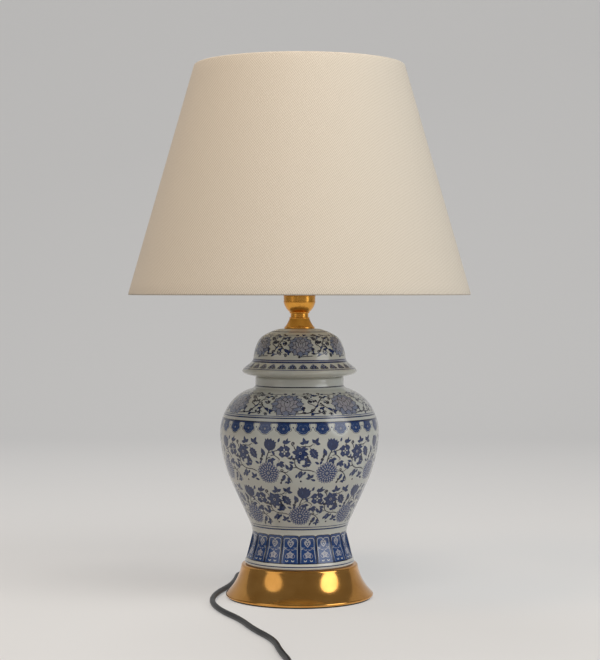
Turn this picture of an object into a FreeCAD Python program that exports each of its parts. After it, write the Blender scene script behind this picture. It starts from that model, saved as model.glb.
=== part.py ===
# Ginger jar table lamp: a lidded porcelain jar on a spun brass foot, drilled and wired through a
# threaded rod, with a lampholder, a harp and an empire shade held down by a finial.
# Millimetres, +Z up, origin on the table below the jar's axis; the lamp's front faces -Y.
import FreeCAD, Part
import math
import os

import Sketcher
from FreeCAD import Placement, Rotation, Vector

# Driving sizes: alias, value in millimetres, what it is. Heights are above the table.
SIZES = (
    ("felt_radius", 85.0, "felt disc under the foot"),
    ("felt_thickness", 1.5, "felt disc"),
    ("base_lip_radius", 87.5, "widest part of the spun foot"),
    ("base_lip_round", 2.0, "half round rolled edge of the foot"),
    ("base_top_radius", 69.2, "foot just under its top corner"),
    ("base_height", 38.5, "foot from the felt to its flat top"),
    ("base_corner", 2.5, "rounded top corner of the foot"),
    ("base_cove", 57.0, "radius of the hollow flank of the foot"),
    ("base_wall", 1.2, "sheet that the foot is spun from"),
    ("rod_radius", 5.14, "threaded rod, over its thread"),
    ("rod_bore", 3.6, "radius of the wire way in the rod"),
    ("rod_below_nut", 0.5, "rod that stands out of its bottom nut"),
    ("rod_in_cap", 7.6, "rod that stands in the lampholder's cap"),
    ("rod_clearance", 0.26, "radial play of plates on the rod"),
    ("washer_radius", 16.0, "bottom washer"),
    ("washer_thickness", 1.5, "bottom washer"),
    ("nut_circumradius", 8.6, "bottom hex nut, over its corners"),
    ("nut_thickness", 3.5, "bottom hex nut"),
    ("jar_height", 221.3, "jar from its foot ring to its mouth"),
    ("jar_radius", 94.2, "widest part of the jar"),
    ("jar_foot_radius", 64.6, "jar's foot ring"),
    ("jar_waist_radius", 58.2, "jar where it draws in above the foot"),
    ("jar_neck_radius", 52.5, "jar's neck"),
    ("jar_wall", 4.0, "porcelain of the jar"),
    ("jar_floor", 5.0, "porcelain of the jar's floor"),
    ("jar_foot_recess", 7.0, "hollow under the jar's floor"),
    ("jar_hole", 6.5, "radius of the drilled hole in the jar's floor"),
    ("lid_height", 56.9, "lid from its seat to its flat top"),
    ("lid_rim_radius", 68.3, "widest part of the lid"),
    ("lid_wall", 4.0, "porcelain of the lid"),
    ("lid_flange", 9.6, "depth of the lid's collar in the jar's neck"),
    ("lid_play", 0.8, "radial play of the lid's collar in the neck"),
    ("lid_hole", 5.6, "radius of the drilled hole in the lid"),
    ("neck_height", 39.5, "turned brass neck"),
    ("neck_radius", 19.0, "cup of the brass neck"),
    ("neck_foot_radius", 18.1, "foot of the brass neck"),
    ("neck_waist_radius", 10.6, "waist of the brass neck"),
    ("saddle_thickness", 1.4, "strip that the harp saddle is bent from"),
    ("saddle_width", 14.0, "harp saddle's strip"),
    ("saddle_half_span", 31.0, "axis to the middle of a saddle arm"),
    ("saddle_arm", 10.0, "saddle arm up to its shoulder"),
    ("saddle_tip", 9.0, "narrow tip of a saddle arm"),
    ("saddle_tip_width", 5.4, "narrow tip of a saddle arm"),
    ("harp_wire", 1.7, "radius of the harp's wire"),
    ("harp_half_width", 54.0, "axis to the harp's widest wire"),
    ("harp_leg", 25.0, "straight bottom of each harp leg"),
    ("harp_flare", 48.0, "height of the leg's outward sweep"),
    ("harp_height", 251.6, "harp from the saddle to its top disc"),
    ("harp_disc_radius", 9.0, "disc that the shade rests on"),
    ("harp_disc_thickness", 3.0, "disc that the shade rests on"),
    ("stud_radius", 3.175, "threaded stud on the harp"),
    ("stud_length", 13.0, "threaded stud on the harp"),
    ("ferrule_radius", 3.9, "sleeve that locks a harp leg"),
    ("ferrule_bore", 2.9, "radius of the sleeve's hole"),
    ("ferrule_length", 17.0, "sleeve that locks a harp leg"),
    ("rest_gap", 0.3, "gap between a moving piece and its seat"),
    ("run_clearance", 0.07, "radial play of turning and screwing fits"),
    ("cap_radius", 19.6, "lampholder's cap"),
    ("cap_wall", 0.8, "lampholder's cap"),
    ("cap_hub_radius", 7.5, "hub of the cap"),
    ("cap_hub_height", 10.0, "hub of the cap"),
    ("cap_height", 21.6, "lampholder's cap"),
    ("shell_wall", 0.6, "lampholder's shell"),
    ("shell_gap", 0.1, "play between cap and shell"),
    ("shell_height", 45.0, "lampholder's shell"),
    ("shell_mouth_radius", 16.2, "mouth of the lampholder's shell"),
    ("liner_wall", 0.7, "card liner of the shell"),
    ("liner_height", 27.0, "card liner of the shell"),
    ("liner_play", 0.2, "play between shell and liner"),
    ("core_radius", 16.6, "moulded core of the lampholder"),
    ("core_neck_radius", 12.5, "waist of the core, where the wires go"),
    ("core_neck", 7.0, "waist of the core"),
    ("core_height", 16.5, "moulded core of the lampholder"),
    ("core_drop", 4.4, "top of the hub to the core"),
    ("thread_wall", 0.7, "screw shells of lampholder and bulb"),
    ("thread_height", 25.0, "lampholder's screw shell"),
    ("bulb_cap_radius", 13.1, "bulb's screw cap"),
    ("bulb_cap_height", 20.4, "bulb's screw cap"),
    ("tongue_height", 2.5, "centre contact of the lampholder"),
    ("tongue_radius", 4.0, "centre contact of the lampholder"),
    ("button_radius", 4.6, "centre contact of the bulb"),
    ("button_height", 2.0, "centre contact of the bulb"),
    ("bulb_collar_radius", 27.0, "bulb's body where the globe starts"),
    ("bulb_collar_height", 28.0, "bulb's body above its cap"),
    ("globe_radius", 30.0, "bulb's globe"),
    ("globe_height", 53.0, "bulb's globe above its body"),
    ("globe_wall", 1.0, "bulb's globe"),
    ("board_radius", 24.5, "light board in the bulb"),
    ("board_thickness", 1.6, "light board in the bulb"),
    ("switch_height", 11.0, "switch axis above the core's foot"),
    ("shaft_radius", 2.0, "switch shaft"),
    ("shaft_depth", 9.0, "axis to the shaft's inner end"),
    ("shaft_length", 15.0, "switch shaft"),
    ("shaft_window", 4.2, "radius of the holes round the shaft"),
    ("key_radius", 6.2, "switch knob"),
    ("key_length", 12.0, "switch knob"),
    ("terminal_radius", 2.2, "head of a terminal screw"),
    ("terminal_length", 2.7, "head of a terminal screw"),
    ("lead_radius", 0.9, "insulated core of the cord"),
    ("screw_radius", 1.6, "set screw of the cap"),
    ("screw_length", 3.2, "set screw of the cap"),
    ("shade_bottom_radius", 203.2, "shade's lower edge"),
    ("shade_top_radius", 125.0, "shade's upper edge"),
    ("shade_height", 273.0, "shade, upright"),
    ("shade_drop", 18.4, "shade's rim to the seat of its spider"),
    ("fabric_thickness", 0.6, "shade fabric"),
    ("hem_depth", 3.8, "turned hem round a ring, inwards"),
    ("hem_height", 7.0, "turned hem round a ring"),
    ("lining_thickness", 0.6, "stiff lining of the shade"),
    ("lining_gap", 0.05, "glue between fabric and lining"),
    ("ring_wire", 1.2, "radius of the shade's ring wires"),
    ("arm_wire", 1.5, "radius of the spider's arms"),
    ("hub_radius", 12.0, "spider's washer"),
    ("hub_thickness", 1.6, "spider's washer"),
    ("insert_radius", 4.6, "threaded insert of the finial"),
    ("insert_height", 11.8, "threaded insert of the finial"),
    ("finial_radius", 9.0, "finial's ball"),
    ("finial_foot_radius", 7.4, "finial's foot"),
    ("finial_height", 29.8, "finial"),
    ("cord_radius", 3.25, "round sheathed cord"),
    ("exit_height", 11.5, "cord's way out of the foot, above the table"),
    ("exit_play", 0.1, "play of the strain relief in the foot"),
    ("relief_radius", 5.9, "strain relief in the foot's wall"),
    ("relief_tip_radius", 4.3, "strain relief at its tip"),
    ("relief_flange_radius", 8.0, "inner flange of the strain relief"),
    ("relief_inner", 66.0, "axis to the inner end of the strain relief"),
    ("relief_flange", 3.0, "inner flange of the strain relief"),
    ("relief_boot", 16.0, "straight part of the strain relief"),
    ("relief_length", 42.0, "strain relief"),
    ("cord_bend", 21.0, "bend of the cord below the rod"),
    ("cord_play", 0.05, "play of the cord in the strain relief"),
    ("lead_rise", 5.3, "cord that stands out of the rod"),
    ("coil_x", 27.0, "middle of the cord's coil"),
    ("coil_y", -474.0, "middle of the cord's coil"),
    ("coil_radius", 42.0, "coil where the cord comes in"),
    ("coil_pitch", 7.3, "from turn to turn and layer to layer"),
    ("plug_width", 26.0, "plug"),
    ("plug_neck", 14.0, "plug where the cord goes in"),
    ("plug_length", 32.0, "plug"),
    ("plug_shoulder", 18.0, "full width part of the plug"),
    ("plug_relief_length", 24.0, "tapered boot between cord and plug"),
    ("plug_relief_radius", 3.9, "tapered boot at the cord"),
    ("plug_round", 3.0, "rounded edges of the plug"),
    ("blade_spacing", 12.7, "between the middles of the blades"),
    ("blade_length", 16.0, "blade"),
    ("blade_width", 6.35, "blade"),
    ("blade_thickness", 1.5, "blade"),
)
SPIDER_ARMS = 3
DIAMETER_SHARE = 0.45            # part of the shorter run that an arc of the cord takes up
COIL_STATIONS = [0.0, 0.25] + [0.75 + 0.5 * half for half in range(10)]
COIL_REVERSAL = 2.25             # turn at which the coil starts to climb and to spiral out again

# Where the free cord lies: chosen by hand, in millimetres, up to the coil's straight start.
CORD_ROUTE = (
    (0.0, 108.0, 11.5),
    (0.0, 138.0, 11.0),
    (-20.0, 164.0, 6.5),
    (-53.0, 167.0, 3.3),
    (-78.0, 146.0, 3.25),
    (-79.0, 102.0, 3.25),
    (-84.0, 55.0, 3.25),
    (-99.0, 3.0, 3.25),
    (-103.0, -52.0, 3.25),
    (-90.0, -109.0, 3.25),
    (-65.0, -163.0, 3.25),
    (-49.0, -220.0, 3.25),
    (-26.0, -276.0, 3.25),
    (-19.0, -335.0, 3.25),
    (-8.0, -387.0, 3.25),
    (-13.0, -430.0, 3.25),
    (-15.0, -467.5, 3.25),
)


class Dim:
    """A size of the sheet, or a sum worked out from such sizes, with the same sum as text."""

    def __init__(self, value, text):
        self.value = float(value)
        self.text = text

    @staticmethod
    def of(number):
        return number if isinstance(number, Dim) else Dim(number, repr(float(number)))

    def joined(self, sign, other, value):
        return Dim(value, f"({self.text} {sign} {other.text})")

    def __add__(self, other):
        other = Dim.of(other)
        return self.joined("+", other, self.value + other.value)

    def __sub__(self, other):
        other = Dim.of(other)
        return self.joined("-", other, self.value - other.value)

    def __mul__(self, other):
        other = Dim.of(other)
        return self.joined("*", other, self.value * other.value)

    def __truediv__(self, other):
        other = Dim.of(other)
        return self.joined("/", other, self.value / other.value)

    def __neg__(self):
        return Dim(-self.value, f"(0 - {self.text})")

    def __radd__(self, other):
        return Dim.of(other) + self

    def __rsub__(self, other):
        return Dim.of(other) - self

    def __rmul__(self, other):
        return Dim.of(other) * self


class Sizes:
    """The sheet of driving sizes; each alias is an attribute here, as a Dim."""

    def __init__(self, document, rows):
        sheet = document.addObject("Spreadsheet::Sheet", "Sizes")
        for line, (alias, value, note) in enumerate(rows, start=1):
            sheet.set(f"A{line}", alias)
            sheet.set(f"B{line}", str(value))
            sheet.setAlias(f"B{line}", alias)
            sheet.set(f"C{line}", note)
            setattr(self, alias, Dim(value, f"Sizes.{alias}"))
        document.recompute()


doc = FreeCAD.newDocument("GingerJarLamp")
S = Sizes(doc, SIZES)
NODES = {}


# --- helpers -------------------------------------------------------------------------------------

def bind(item, prop, size):
    """Set a property now and tie it to the sheet."""
    size = Dim.of(size)
    setattr(item, prop, size.value)
    item.setExpression(prop, size.text)


def place(item, base, axis=(0, 0, 1)):
    """Stand an item at base, with its own Z along axis."""
    base = [Dim.of(part) for part in base]
    turn = Rotation(Vector(0, 0, 1), Vector(*axis))
    item.Placement = Placement(Vector(*(part.value for part in base)), turn)
    for name, part in zip("xyz", base):
        item.setExpression(f"Placement.Base.{name}", part.text)


def node(label, item):
    """Keep an item as a sub-part of the lamp, under its own label."""
    item.Label = label
    NODES[label] = item
    return item


class Corner:
    """One corner of an outline; bend is the edge that comes in to it.

    bend is None for a straight edge, "smooth" for an arc that runs on from the edge before it,
    or a radius: positive with the arc's centre on the left of the way, negative on the right.
    """

    def __init__(self, x, z, bend=None):
        self.x = Dim.of(x)
        self.z = Dim.of(z)
        self.bend = bend

    def at(self):
        return Vector(self.x.value, self.z.value, 0)


def turned_left(way):
    return Vector(-way.y, way.x, 0)


class Edge:
    """A straight edge or an arc between two corners, with its ways in and out."""

    def __init__(self, start, end, bend, way):
        self.start, self.end, self.bend = start, end, bend
        chord = end - start
        along = Vector(chord).normalize()
        self.radius = None
        if bend == "smooth":
            rise = chord.dot(turned_left(way))
            self.radius = chord.Length ** 2 / (2 * rise) if abs(rise) > 1e-6 else None
        elif bend is not None:
            self.radius = Dim.of(bend).value
        if self.radius is None:
            self.way_in = self.way_out = along
            return
        half = math.asin(chord.Length / 2 / self.radius)
        self.way_in = Rotation(Vector(0, 0, 1), math.degrees(-half)).multVec(along)
        self.way_out = Rotation(Vector(0, 0, 1), math.degrees(half)).multVec(along)
        self.centre = start + turned_left(self.way_in) * self.radius

    def geometry(self):
        if self.radius is None:
            return Part.LineSegment(self.start, self.end)
        circle = Part.Circle(self.centre, Vector(0, 0, 1), abs(self.radius))
        first, last = (self.start, self.end) if self.radius > 0 else (self.end, self.start)
        return Part.ArcOfCircle(circle, circle.parameter(first), circle.parameter(last))

    def ends(self):
        """Sketcher's numbers for this edge's start and end."""
        return (2, 1) if self.radius is not None and self.radius < 0 else (1, 2)


def edges_of(outline, closed=True):
    """The edges between an outline's corners, in order; a closed one ends with the last to first."""
    edges = []
    way = None
    count = len(outline)
    for index in range(1, count + 1 if closed else count):
        before, corner = outline[index - 1], outline[index % count]
        edges.append(Edge(before.at(), corner.at(), corner.bend, way))
        way = edges[-1].way_out
    return edges


def inset(outline, wall):
    """The same open outline, wall further to the left of its way, and run backwards."""
    edges = edges_of(outline, closed=False)
    corners = []
    for index, corner in enumerate(outline):
        into = edges[max(index - 1, 0)].way_out if index else edges[0].way_in
        out = edges[min(index, len(edges) - 1)].way_in if index < len(edges) else into
        normal = turned_left((into + out).normalize())
        corners.append((corner.x + wall * round(normal.x, 4), corner.z + wall * round(normal.y, 4)))
    bends = [corner.bend for corner in outline[1:]]
    bends = [wall - bend if isinstance(bend, (int, float, Dim)) else bend for bend in bends]
    moved = [Corner(*corners[-1])]
    for point, bend in zip(corners[-2::-1], bends[::-1]):
        moved.append(Corner(*point, bend))
    return moved


def draw(sketch, outline):
    """Draw a closed outline in a sketch, each corner tied to the sheet."""
    edges = edges_of(outline)
    numbers = [sketch.addGeometry(edge.geometry(), False) for edge in edges]
    for index, (number, edge) in enumerate(zip(numbers, edges)):
        corner = outline[index]
        start, end = edge.ends()
        follower = (index + 1) % len(edges)
        links = (number, end, numbers[follower], edges[follower].ends()[0])
        smooth = edges[follower].bend == "smooth" and edges[follower].radius is not None
        sketch.addConstraint(Sketcher.Constraint("Tangent" if smooth else "Coincident", *links))
        for kind, size, own_axis in (("DistanceX", corner.x, -2), ("DistanceY", corner.z, -1)):
            if abs(size.value) < 1e-9:
                sketch.addConstraint(Sketcher.Constraint("PointOnObject", number, start, own_axis))
                continue
            rule = Sketcher.Constraint(kind, -1, 1, number, start, size.value)
            sketch.setExpression(f"Constraints[{sketch.addConstraint(rule)}]", size.text)
        if edge.radius is not None and edge.bend != "smooth":
            size = Dim.of(edge.bend)
            size = size if size.value > 0 else -size
            rule = Sketcher.Constraint("Radius", number, size.value)
            sketch.setExpression(f"Constraints[{sketch.addConstraint(rule)}]", size.text)


def sketch_in(body, role, outline):
    """A sketch with one closed outline on a plane of its own body."""
    sketch = body.newObject("Sketcher::SketchObject", body.Name + "_outline")
    plane = next(item for item in body.Origin.OriginFeatures if item.Role == role)
    sketch.AttachmentSupport = [(plane, "")]
    sketch.MapMode = "FlatFace"
    draw(sketch, outline)
    return sketch


def turned(name, outline, base=None, axis=(0, 0, 1)):
    """A round piece: an outline of radius and height turned about its own Z."""
    body = doc.addObject("PartDesign::Body", name)
    sketch = sketch_in(body, "XZ_Plane", outline)
    feature = body.newObject("PartDesign::Revolution", name + "_turned")
    feature.Profile = sketch
    feature.ReferenceAxis = (sketch, ["V_Axis"])
    feature.Angle = 360.0
    sketch.Visibility = False
    if base is not None:
        place(body, base, axis)
    return body


def ring(name, outer, inner, bottom, top):
    """A plain washer, sleeve or disc."""
    return turned(name, [Corner(inner, bottom), Corner(outer, bottom), Corner(outer, top),
                         Corner(inner, top)])


def padded(name, role, outline, length):
    """A flat outline given a thickness, half to each side of its plane."""
    body = doc.addObject("PartDesign::Body", name)
    feature = body.newObject("PartDesign::Pad", name + "_pad")
    feature.Profile = sketch_in(body, role, outline)
    feature.Midplane = True
    bind(feature, "Length", length)
    return body


def cylinder(name, radius, height, base=(0, 0, 0), axis=(0, 0, 1)):
    item = doc.addObject("Part::Cylinder", name)
    bind(item, "Radius", radius)
    bind(item, "Height", height)
    place(item, base, axis)
    return item


def box(name, length, width, height, base):
    item = doc.addObject("Part::Box", name)
    for prop, size in (("Length", length), ("Width", width), ("Height", height)):
        bind(item, prop, size)
    place(item, base)
    return item


def fused(name, *items):
    item = doc.addObject("Part::MultiFuse", name)
    item.Shapes = list(items)
    return item


def group(name, *items):
    """Separate solids that share one file, such as a pair of screws."""
    item = doc.addObject("Part::Compound", name)
    item.Links = list(items)
    return item


def cut(name, base, *tools):
    item = doc.addObject("Part::Cut", name)
    item.Base = base
    item.Tool = tools[0] if len(tools) == 1 else fused(name + "_tools", *tools)
    return item


def shaped(name, shape):
    """A piece whose shape is worked out with Part's own functions, such as a bent wire."""
    item = doc.addObject("Part::Feature", name)
    item.Shape = shape
    return item


def arc_from(start, way, end):
    """The arc that leaves start along way and reaches end, and its way out; maybe a straight run."""
    chord = end - start
    across = chord - way * chord.dot(way)
    if across.Length < 1e-7:
        return Part.LineSegment(start, end), way, math.inf
    side = Vector(across).normalize()
    radius = chord.Length ** 2 / (2 * chord.dot(side))
    centre = start + side * radius
    half = (start - centre) + (end - centre)
    if half.Length < 1e-6:
        half = way
    if chord.dot(way) < 0:
        half = -half
    middle = centre + half.normalize() * radius
    along = Vector(chord).normalize()
    return Part.Arc(start, middle, end), along * (2 * along.dot(way)) - way, radius


def rounded_path(points, report=None):
    """Straight runs joined by tangent arcs, each as large as its two runs allow."""
    points = [Vector(*point) for point in points]
    edges, radii = [], []
    last = points[0]
    for before, corner, after in zip(points, points[1:], points[2:]):
        ins = (corner - before).normalize()
        outs = (after - corner).normalize()
        reach = DIAMETER_SHARE * min((corner - before).Length, (after - corner).Length)
        start, end = corner - ins * reach, corner + outs * reach
        edges.append(Part.LineSegment(last, start))
        arc, _, radius = arc_from(start, ins, end)
        edges.append(arc)
        radii.append(radius)
        last = end
    edges.append(Part.LineSegment(last, points[-1]))
    if report:
        print(report, "arc radii:", ", ".join(f"{radius:.1f}" for radius in radii))
    return Part.Wire([edge.toShape() for edge in edges])


def tube(wire, radius, name):
    """A round solid along a wire, checked against its section times its length."""
    first = wire.OrderedEdges[0]
    start = first.valueAt(first.FirstParameter)
    way = first.tangentAt(first.FirstParameter)
    profile = Part.Wire([Part.Circle(start, way, radius).toShape()])
    solid = wire.makePipeShell([profile], True, False)
    share = solid.Volume / (math.pi * radius ** 2 * wire.Length)
    print(f"{name}: length {wire.Length:.1f}, volume over section times length {share:.4f}")
    return solid


# --- foot, rod and porcelain ---------------------------------------------------------------------

BASE_TOP = S.felt_thickness + S.base_height
JAR_TOP = BASE_TOP + S.jar_height
LID_SEAT = JAR_TOP + 0.0
LID_TOP = LID_SEAT + S.lid_height
NECK_TOP = LID_TOP + S.neck_height
CAP_SEAT = NECK_TOP + S.saddle_thickness
NUT_TOP = BASE_TOP - S.base_wall - S.washer_thickness
ROD_BOTTOM = NUT_TOP - S.nut_thickness - S.rod_below_nut
ROD_TOP = CAP_SEAT + S.rod_in_cap
ROD_HOLE = S.rod_radius + S.rod_clearance


def make_felt_pad():
    half = [Corner(0, 0), Corner(S.felt_radius, 0), Corner(S.felt_radius, S.felt_thickness),
            Corner(0, S.felt_thickness)]
    node("felt_pad", turned("felt_pad", half))


def make_metal_base():
    """Spun foot: rolled lip, hollow flank, round corner and flat top, all one sheet thick."""
    lip = S.base_lip_round
    low = S.felt_thickness
    skin = [Corner(S.base_lip_radius - lip, low),
            Corner(S.base_lip_radius, low + lip, lip),
            Corner(S.base_lip_radius - lip * 0.5, low + lip * 1.866, lip),
            Corner(S.base_top_radius, BASE_TOP - S.base_corner, -S.base_cove),
            Corner(S.base_top_radius - S.base_corner, BASE_TOP, S.base_corner),
            Corner(ROD_HOLE, BASE_TOP)]
    blank = turned("metal_base_blank", skin + inset(skin, S.base_wall))
    hole = cylinder("cord_hole", S.relief_radius + S.exit_play, S.base_lip_radius,
                    (0, S.base_lip_radius * 0.5, S.exit_height), (0, 1, 0))
    node("metal_base", cut("metal_base", blank, hole))


def make_bottom_fixings():
    washer_low = NUT_TOP + 0.0
    node("base_washer", ring("base_washer", S.washer_radius, ROD_HOLE, washer_low,
                             washer_low + S.washer_thickness))
    blank = doc.addObject("Part::Prism", "base_nut_blank")
    blank.Polygon = 6
    bind(blank, "Circumradius", S.nut_circumradius)
    bind(blank, "Height", S.nut_thickness)
    place(blank, (0, 0, NUT_TOP - S.nut_thickness))
    thread = cylinder("base_nut_thread", S.rod_radius + S.cord_play, S.nut_thickness * 3,
                      (0, 0, NUT_TOP - S.nut_thickness * 2))
    node("base_nut", cut("base_nut", blank, thread))
    node("threaded_rod", ring("threaded_rod", S.rod_radius, S.rod_bore, ROD_BOTTOM, ROD_TOP))


def jar_skin():
    """Outside of the jar from its foot's edge up to the mouth, drawn upwards."""
    z0 = BASE_TOP
    top = JAR_TOP
    belly = S.jar_radius
    return [Corner(S.jar_foot_radius, z0 + 5.0),
            Corner(S.jar_waist_radius, z0 + 21.8),
            Corner(S.jar_waist_radius + 0.7, z0 + 49.1, "smooth"),
            Corner(belly - 14.0, z0 + 95.5),
            Corner(belly, z0 + 148.9, "smooth"),
            Corner(belly - 9.6, z0 + 186.9, "smooth"),
            Corner(S.jar_neck_radius + 3.8, top - 13.8, "smooth"),
            Corner(S.jar_neck_radius, top - 10.0, "smooth"),
            Corner(S.jar_neck_radius, top - 2.0)]


def make_jar():
    z0 = BASE_TOP
    skin = jar_skin()
    lip_round = 1.6
    neck_bore = S.jar_neck_radius - S.jar_wall
    mouth = [Corner(S.jar_neck_radius - lip_round, JAR_TOP, 2.0), Corner(neck_bore, JAR_TOP)]
    floor_top = z0 + S.jar_foot_recess + S.jar_floor
    inside = inset(skin[:-1], S.jar_wall)
    foot_inner = S.jar_foot_radius - 8.0
    floor = [Corner(S.jar_foot_radius - 12.0, floor_top),
             Corner(S.jar_hole, floor_top),
             Corner(S.jar_hole, z0 + S.jar_foot_recess),
             Corner(foot_inner - 2.0, z0 + S.jar_foot_recess),
             Corner(foot_inner, z0),
             Corner(S.jar_foot_radius - 2.0, z0),
             Corner(S.jar_foot_radius + 0.3, z0 + 2.2, 2.4)]
    node("jar", turned("jar", skin + mouth + inside[:-1] + floor))


def make_lid():
    """Lid: round-edged rim, domed top, and a collar that drops into the jar's neck."""
    z0, top, rim = LID_SEAT, LID_TOP, S.lid_rim_radius
    collar = S.jar_neck_radius - S.jar_wall - S.lid_play
    skin = [Corner(collar, z0),
            Corner(S.jar_neck_radius + 0.8, z0),
            Corner(rim - 5.3, z0 + 2.6),
            Corner(rim, z0 + 6.8, 6.5),
            Corner(rim - 1.3, z0 + 9.4, 1.9),
            Corner(rim - 10.2, z0 + 16.6),
            Corner(rim - 13.3, z0 + 22.3, "smooth"),
            Corner(rim - 18.5, z0 + 40.7, "smooth"),
            Corner(rim - 25.8, top - 8.0, "smooth"),
            Corner(rim - 41.8, top - 0.9, "smooth"),
            Corner(S.neck_foot_radius + 2.4, top, "smooth"),
            Corner(S.lid_hole, top),
            Corner(S.lid_hole, top - S.lid_wall),
            Corner(rim - 43.3, top - S.lid_wall - 1.4),
            Corner(rim - 29.0, top - S.lid_wall - 8.3, 30.0),
            Corner(collar - S.lid_wall, z0 + 30.0, 40.0),
            Corner(collar - S.lid_wall, z0 - S.lid_flange),
            Corner(collar, z0 - S.lid_flange)]
    node("lid", turned("lid", skin))


def make_neck():
    """Turned brass neck: spreading foot, waist and cup, bored for the rod and hollowed below."""
    z0, top = LID_TOP, NECK_TOP
    foot, waist, cup = S.neck_foot_radius, S.neck_waist_radius, S.neck_radius
    skin = [Corner(foot, z0),
            Corner(foot, z0 + 2.1),
            Corner(waist + 1.2, z0 + 11.9, -34.0),
            Corner(waist, z0 + 13.1, 1.6),
            Corner(waist, top - 21.8),
            Corner(waist + 1.0, top - 20.6, -1.6),
            Corner(cup, top - 8.4, 19.0),
            Corner(cup, top - 1.0),
            Corner(cup - 1.0, top, 1.0),
            Corner(ROD_HOLE, top),
            Corner(ROD_HOLE, z0 + 9.0),
            Corner(foot - 3.2, z0)]
    node("neck", turned("neck", skin))


# --- harp and its saddle -------------------------------------------------------------------------

ARM_SHOULDER = CAP_SEAT + S.saddle_arm
ARM_TOP = ARM_SHOULDER + S.saddle_tip
HARP_FOOT = ARM_TOP + S.rest_gap
HARP_TOP = CAP_SEAT + S.harp_height


def make_saddle():
    """Strip bent up at both ends, with a hole for the rod and narrow tips for the sleeves."""
    thick, reach = S.saddle_thickness, S.saddle_half_span + S.saddle_thickness * 0.5
    low = NECK_TOP
    strip = [Corner(-reach, low), Corner(reach, low), Corner(reach, ARM_TOP),
             Corner(reach - thick, ARM_TOP), Corner(reach - thick, low + thick),
             Corner(thick - reach, low + thick), Corner(thick - reach, ARM_TOP),
             Corner(-reach, ARM_TOP)]
    blank = padded("harp_saddle_blank", "XZ_Plane", strip, S.saddle_width)
    tools = [cylinder("saddle_hole", ROD_HOLE, thick * 3, (0, 0, low - thick))]
    trim = (S.saddle_width - S.saddle_tip_width) * 0.5
    for side, start in (("front", S.saddle_width * -0.5), ("back", S.saddle_tip_width * 0.5)):
        tools.append(box(f"saddle_trim_{side}", reach * 2, trim, S.saddle_tip,
                         (-reach, start, ARM_SHOULDER)))
    node("harp_saddle", cut("harp_saddle", blank, *tools))


def make_harp():
    """Wire bow: straight legs, an outward sweep and a round arch, with a disc and a stud on top."""
    foot, span = HARP_FOOT.value, S.saddle_half_span.value
    wide, wire = S.harp_half_width.value, S.harp_wire.value
    bend = foot + S.harp_leg.value
    shoulder = bend + S.harp_flare.value
    apex = HARP_TOP.value - S.harp_disc_thickness.value
    spring = apex - wide
    halfway = Vector((span + wide) / 2, 0, (bend + shoulder) / 2)
    up = Vector(0, 0, 1)
    mirrored = FreeCAD.Matrix(-1, 0, 0, 0, 0, 1, 0, 0, 0, 0, 1, 0, 0, 0, 0, 1)
    start, low = Vector(span, 0, foot), Vector(span, 0, bend)
    high, top = Vector(wide, 0, shoulder), Vector(wide, 0, spring)
    sweep_out, way, _ = arc_from(low, up, halfway)
    sweep_in = arc_from(halfway, way, high)[0]
    right = [Part.LineSegment(start, low), sweep_out, sweep_in, Part.LineSegment(high, top)]
    arch = [arc_from(top, up, Vector(0, 0, apex))[0],
            arc_from(Vector(0, 0, apex), Vector(-1, 0, 0), mirrored.multVec(top))[0]]
    left = [Part.LineSegment(mirrored.multVec(top), mirrored.multVec(high)),
            arc_from(mirrored.multVec(high), -up, mirrored.multVec(halfway))[0],
            arc_from(mirrored.multVec(halfway), mirrored.multVec(-way), mirrored.multVec(low))[0],
            Part.LineSegment(mirrored.multVec(low), mirrored.multVec(start))]
    path = Part.Wire([edge.toShape() for edge in right + arch + left])
    bow = shaped("harp_bow", tube(path, wire, "harp wire"))
    disc = cylinder("harp_disc", S.harp_disc_radius, S.harp_disc_thickness,
                    (0, 0, HARP_TOP - S.harp_disc_thickness))
    stud = cylinder("harp_stud", S.stud_radius, S.stud_length, (0, 0, HARP_TOP))
    node("harp", fused("harp", bow, disc, stud))


def make_ferrules():
    low = ARM_SHOULDER + S.rest_gap
    top = low + S.ferrule_length
    edge = 1.0
    for name, side in (("ferrule_left", -1), ("ferrule_right", 1)):
        outline = [Corner(S.ferrule_bore, low), Corner(S.ferrule_radius, low),
                   Corner(S.ferrule_radius, top - edge),
                   Corner(S.ferrule_radius - edge * 0.8, top, edge),
                   Corner(S.ferrule_bore, top)]
        node(name, turned(name, outline, (S.saddle_half_span * side, 0, 0)))


# --- lampholder ----------------------------------------------------------------------------------

HUB_TOP = CAP_SEAT + S.cap_hub_height
CAP_TOP = CAP_SEAT + S.cap_height
SHELL_RADIUS = S.cap_radius - S.cap_wall - S.shell_gap
SHELL_LOW = CAP_TOP - 5.0
SHELL_TOP = SHELL_LOW + S.shell_height
LINER_RADIUS = SHELL_RADIUS - S.shell_wall - S.liner_play
LINER_LOW = SHELL_LOW + 1.0
CORE_LOW = HUB_TOP + S.core_drop + S.core_height * 0.25
CORE_TOP = CORE_LOW + S.core_height
SWITCH_Z = CORE_LOW + S.switch_height
THREAD_BORE = S.bulb_cap_radius + S.run_clearance


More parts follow.
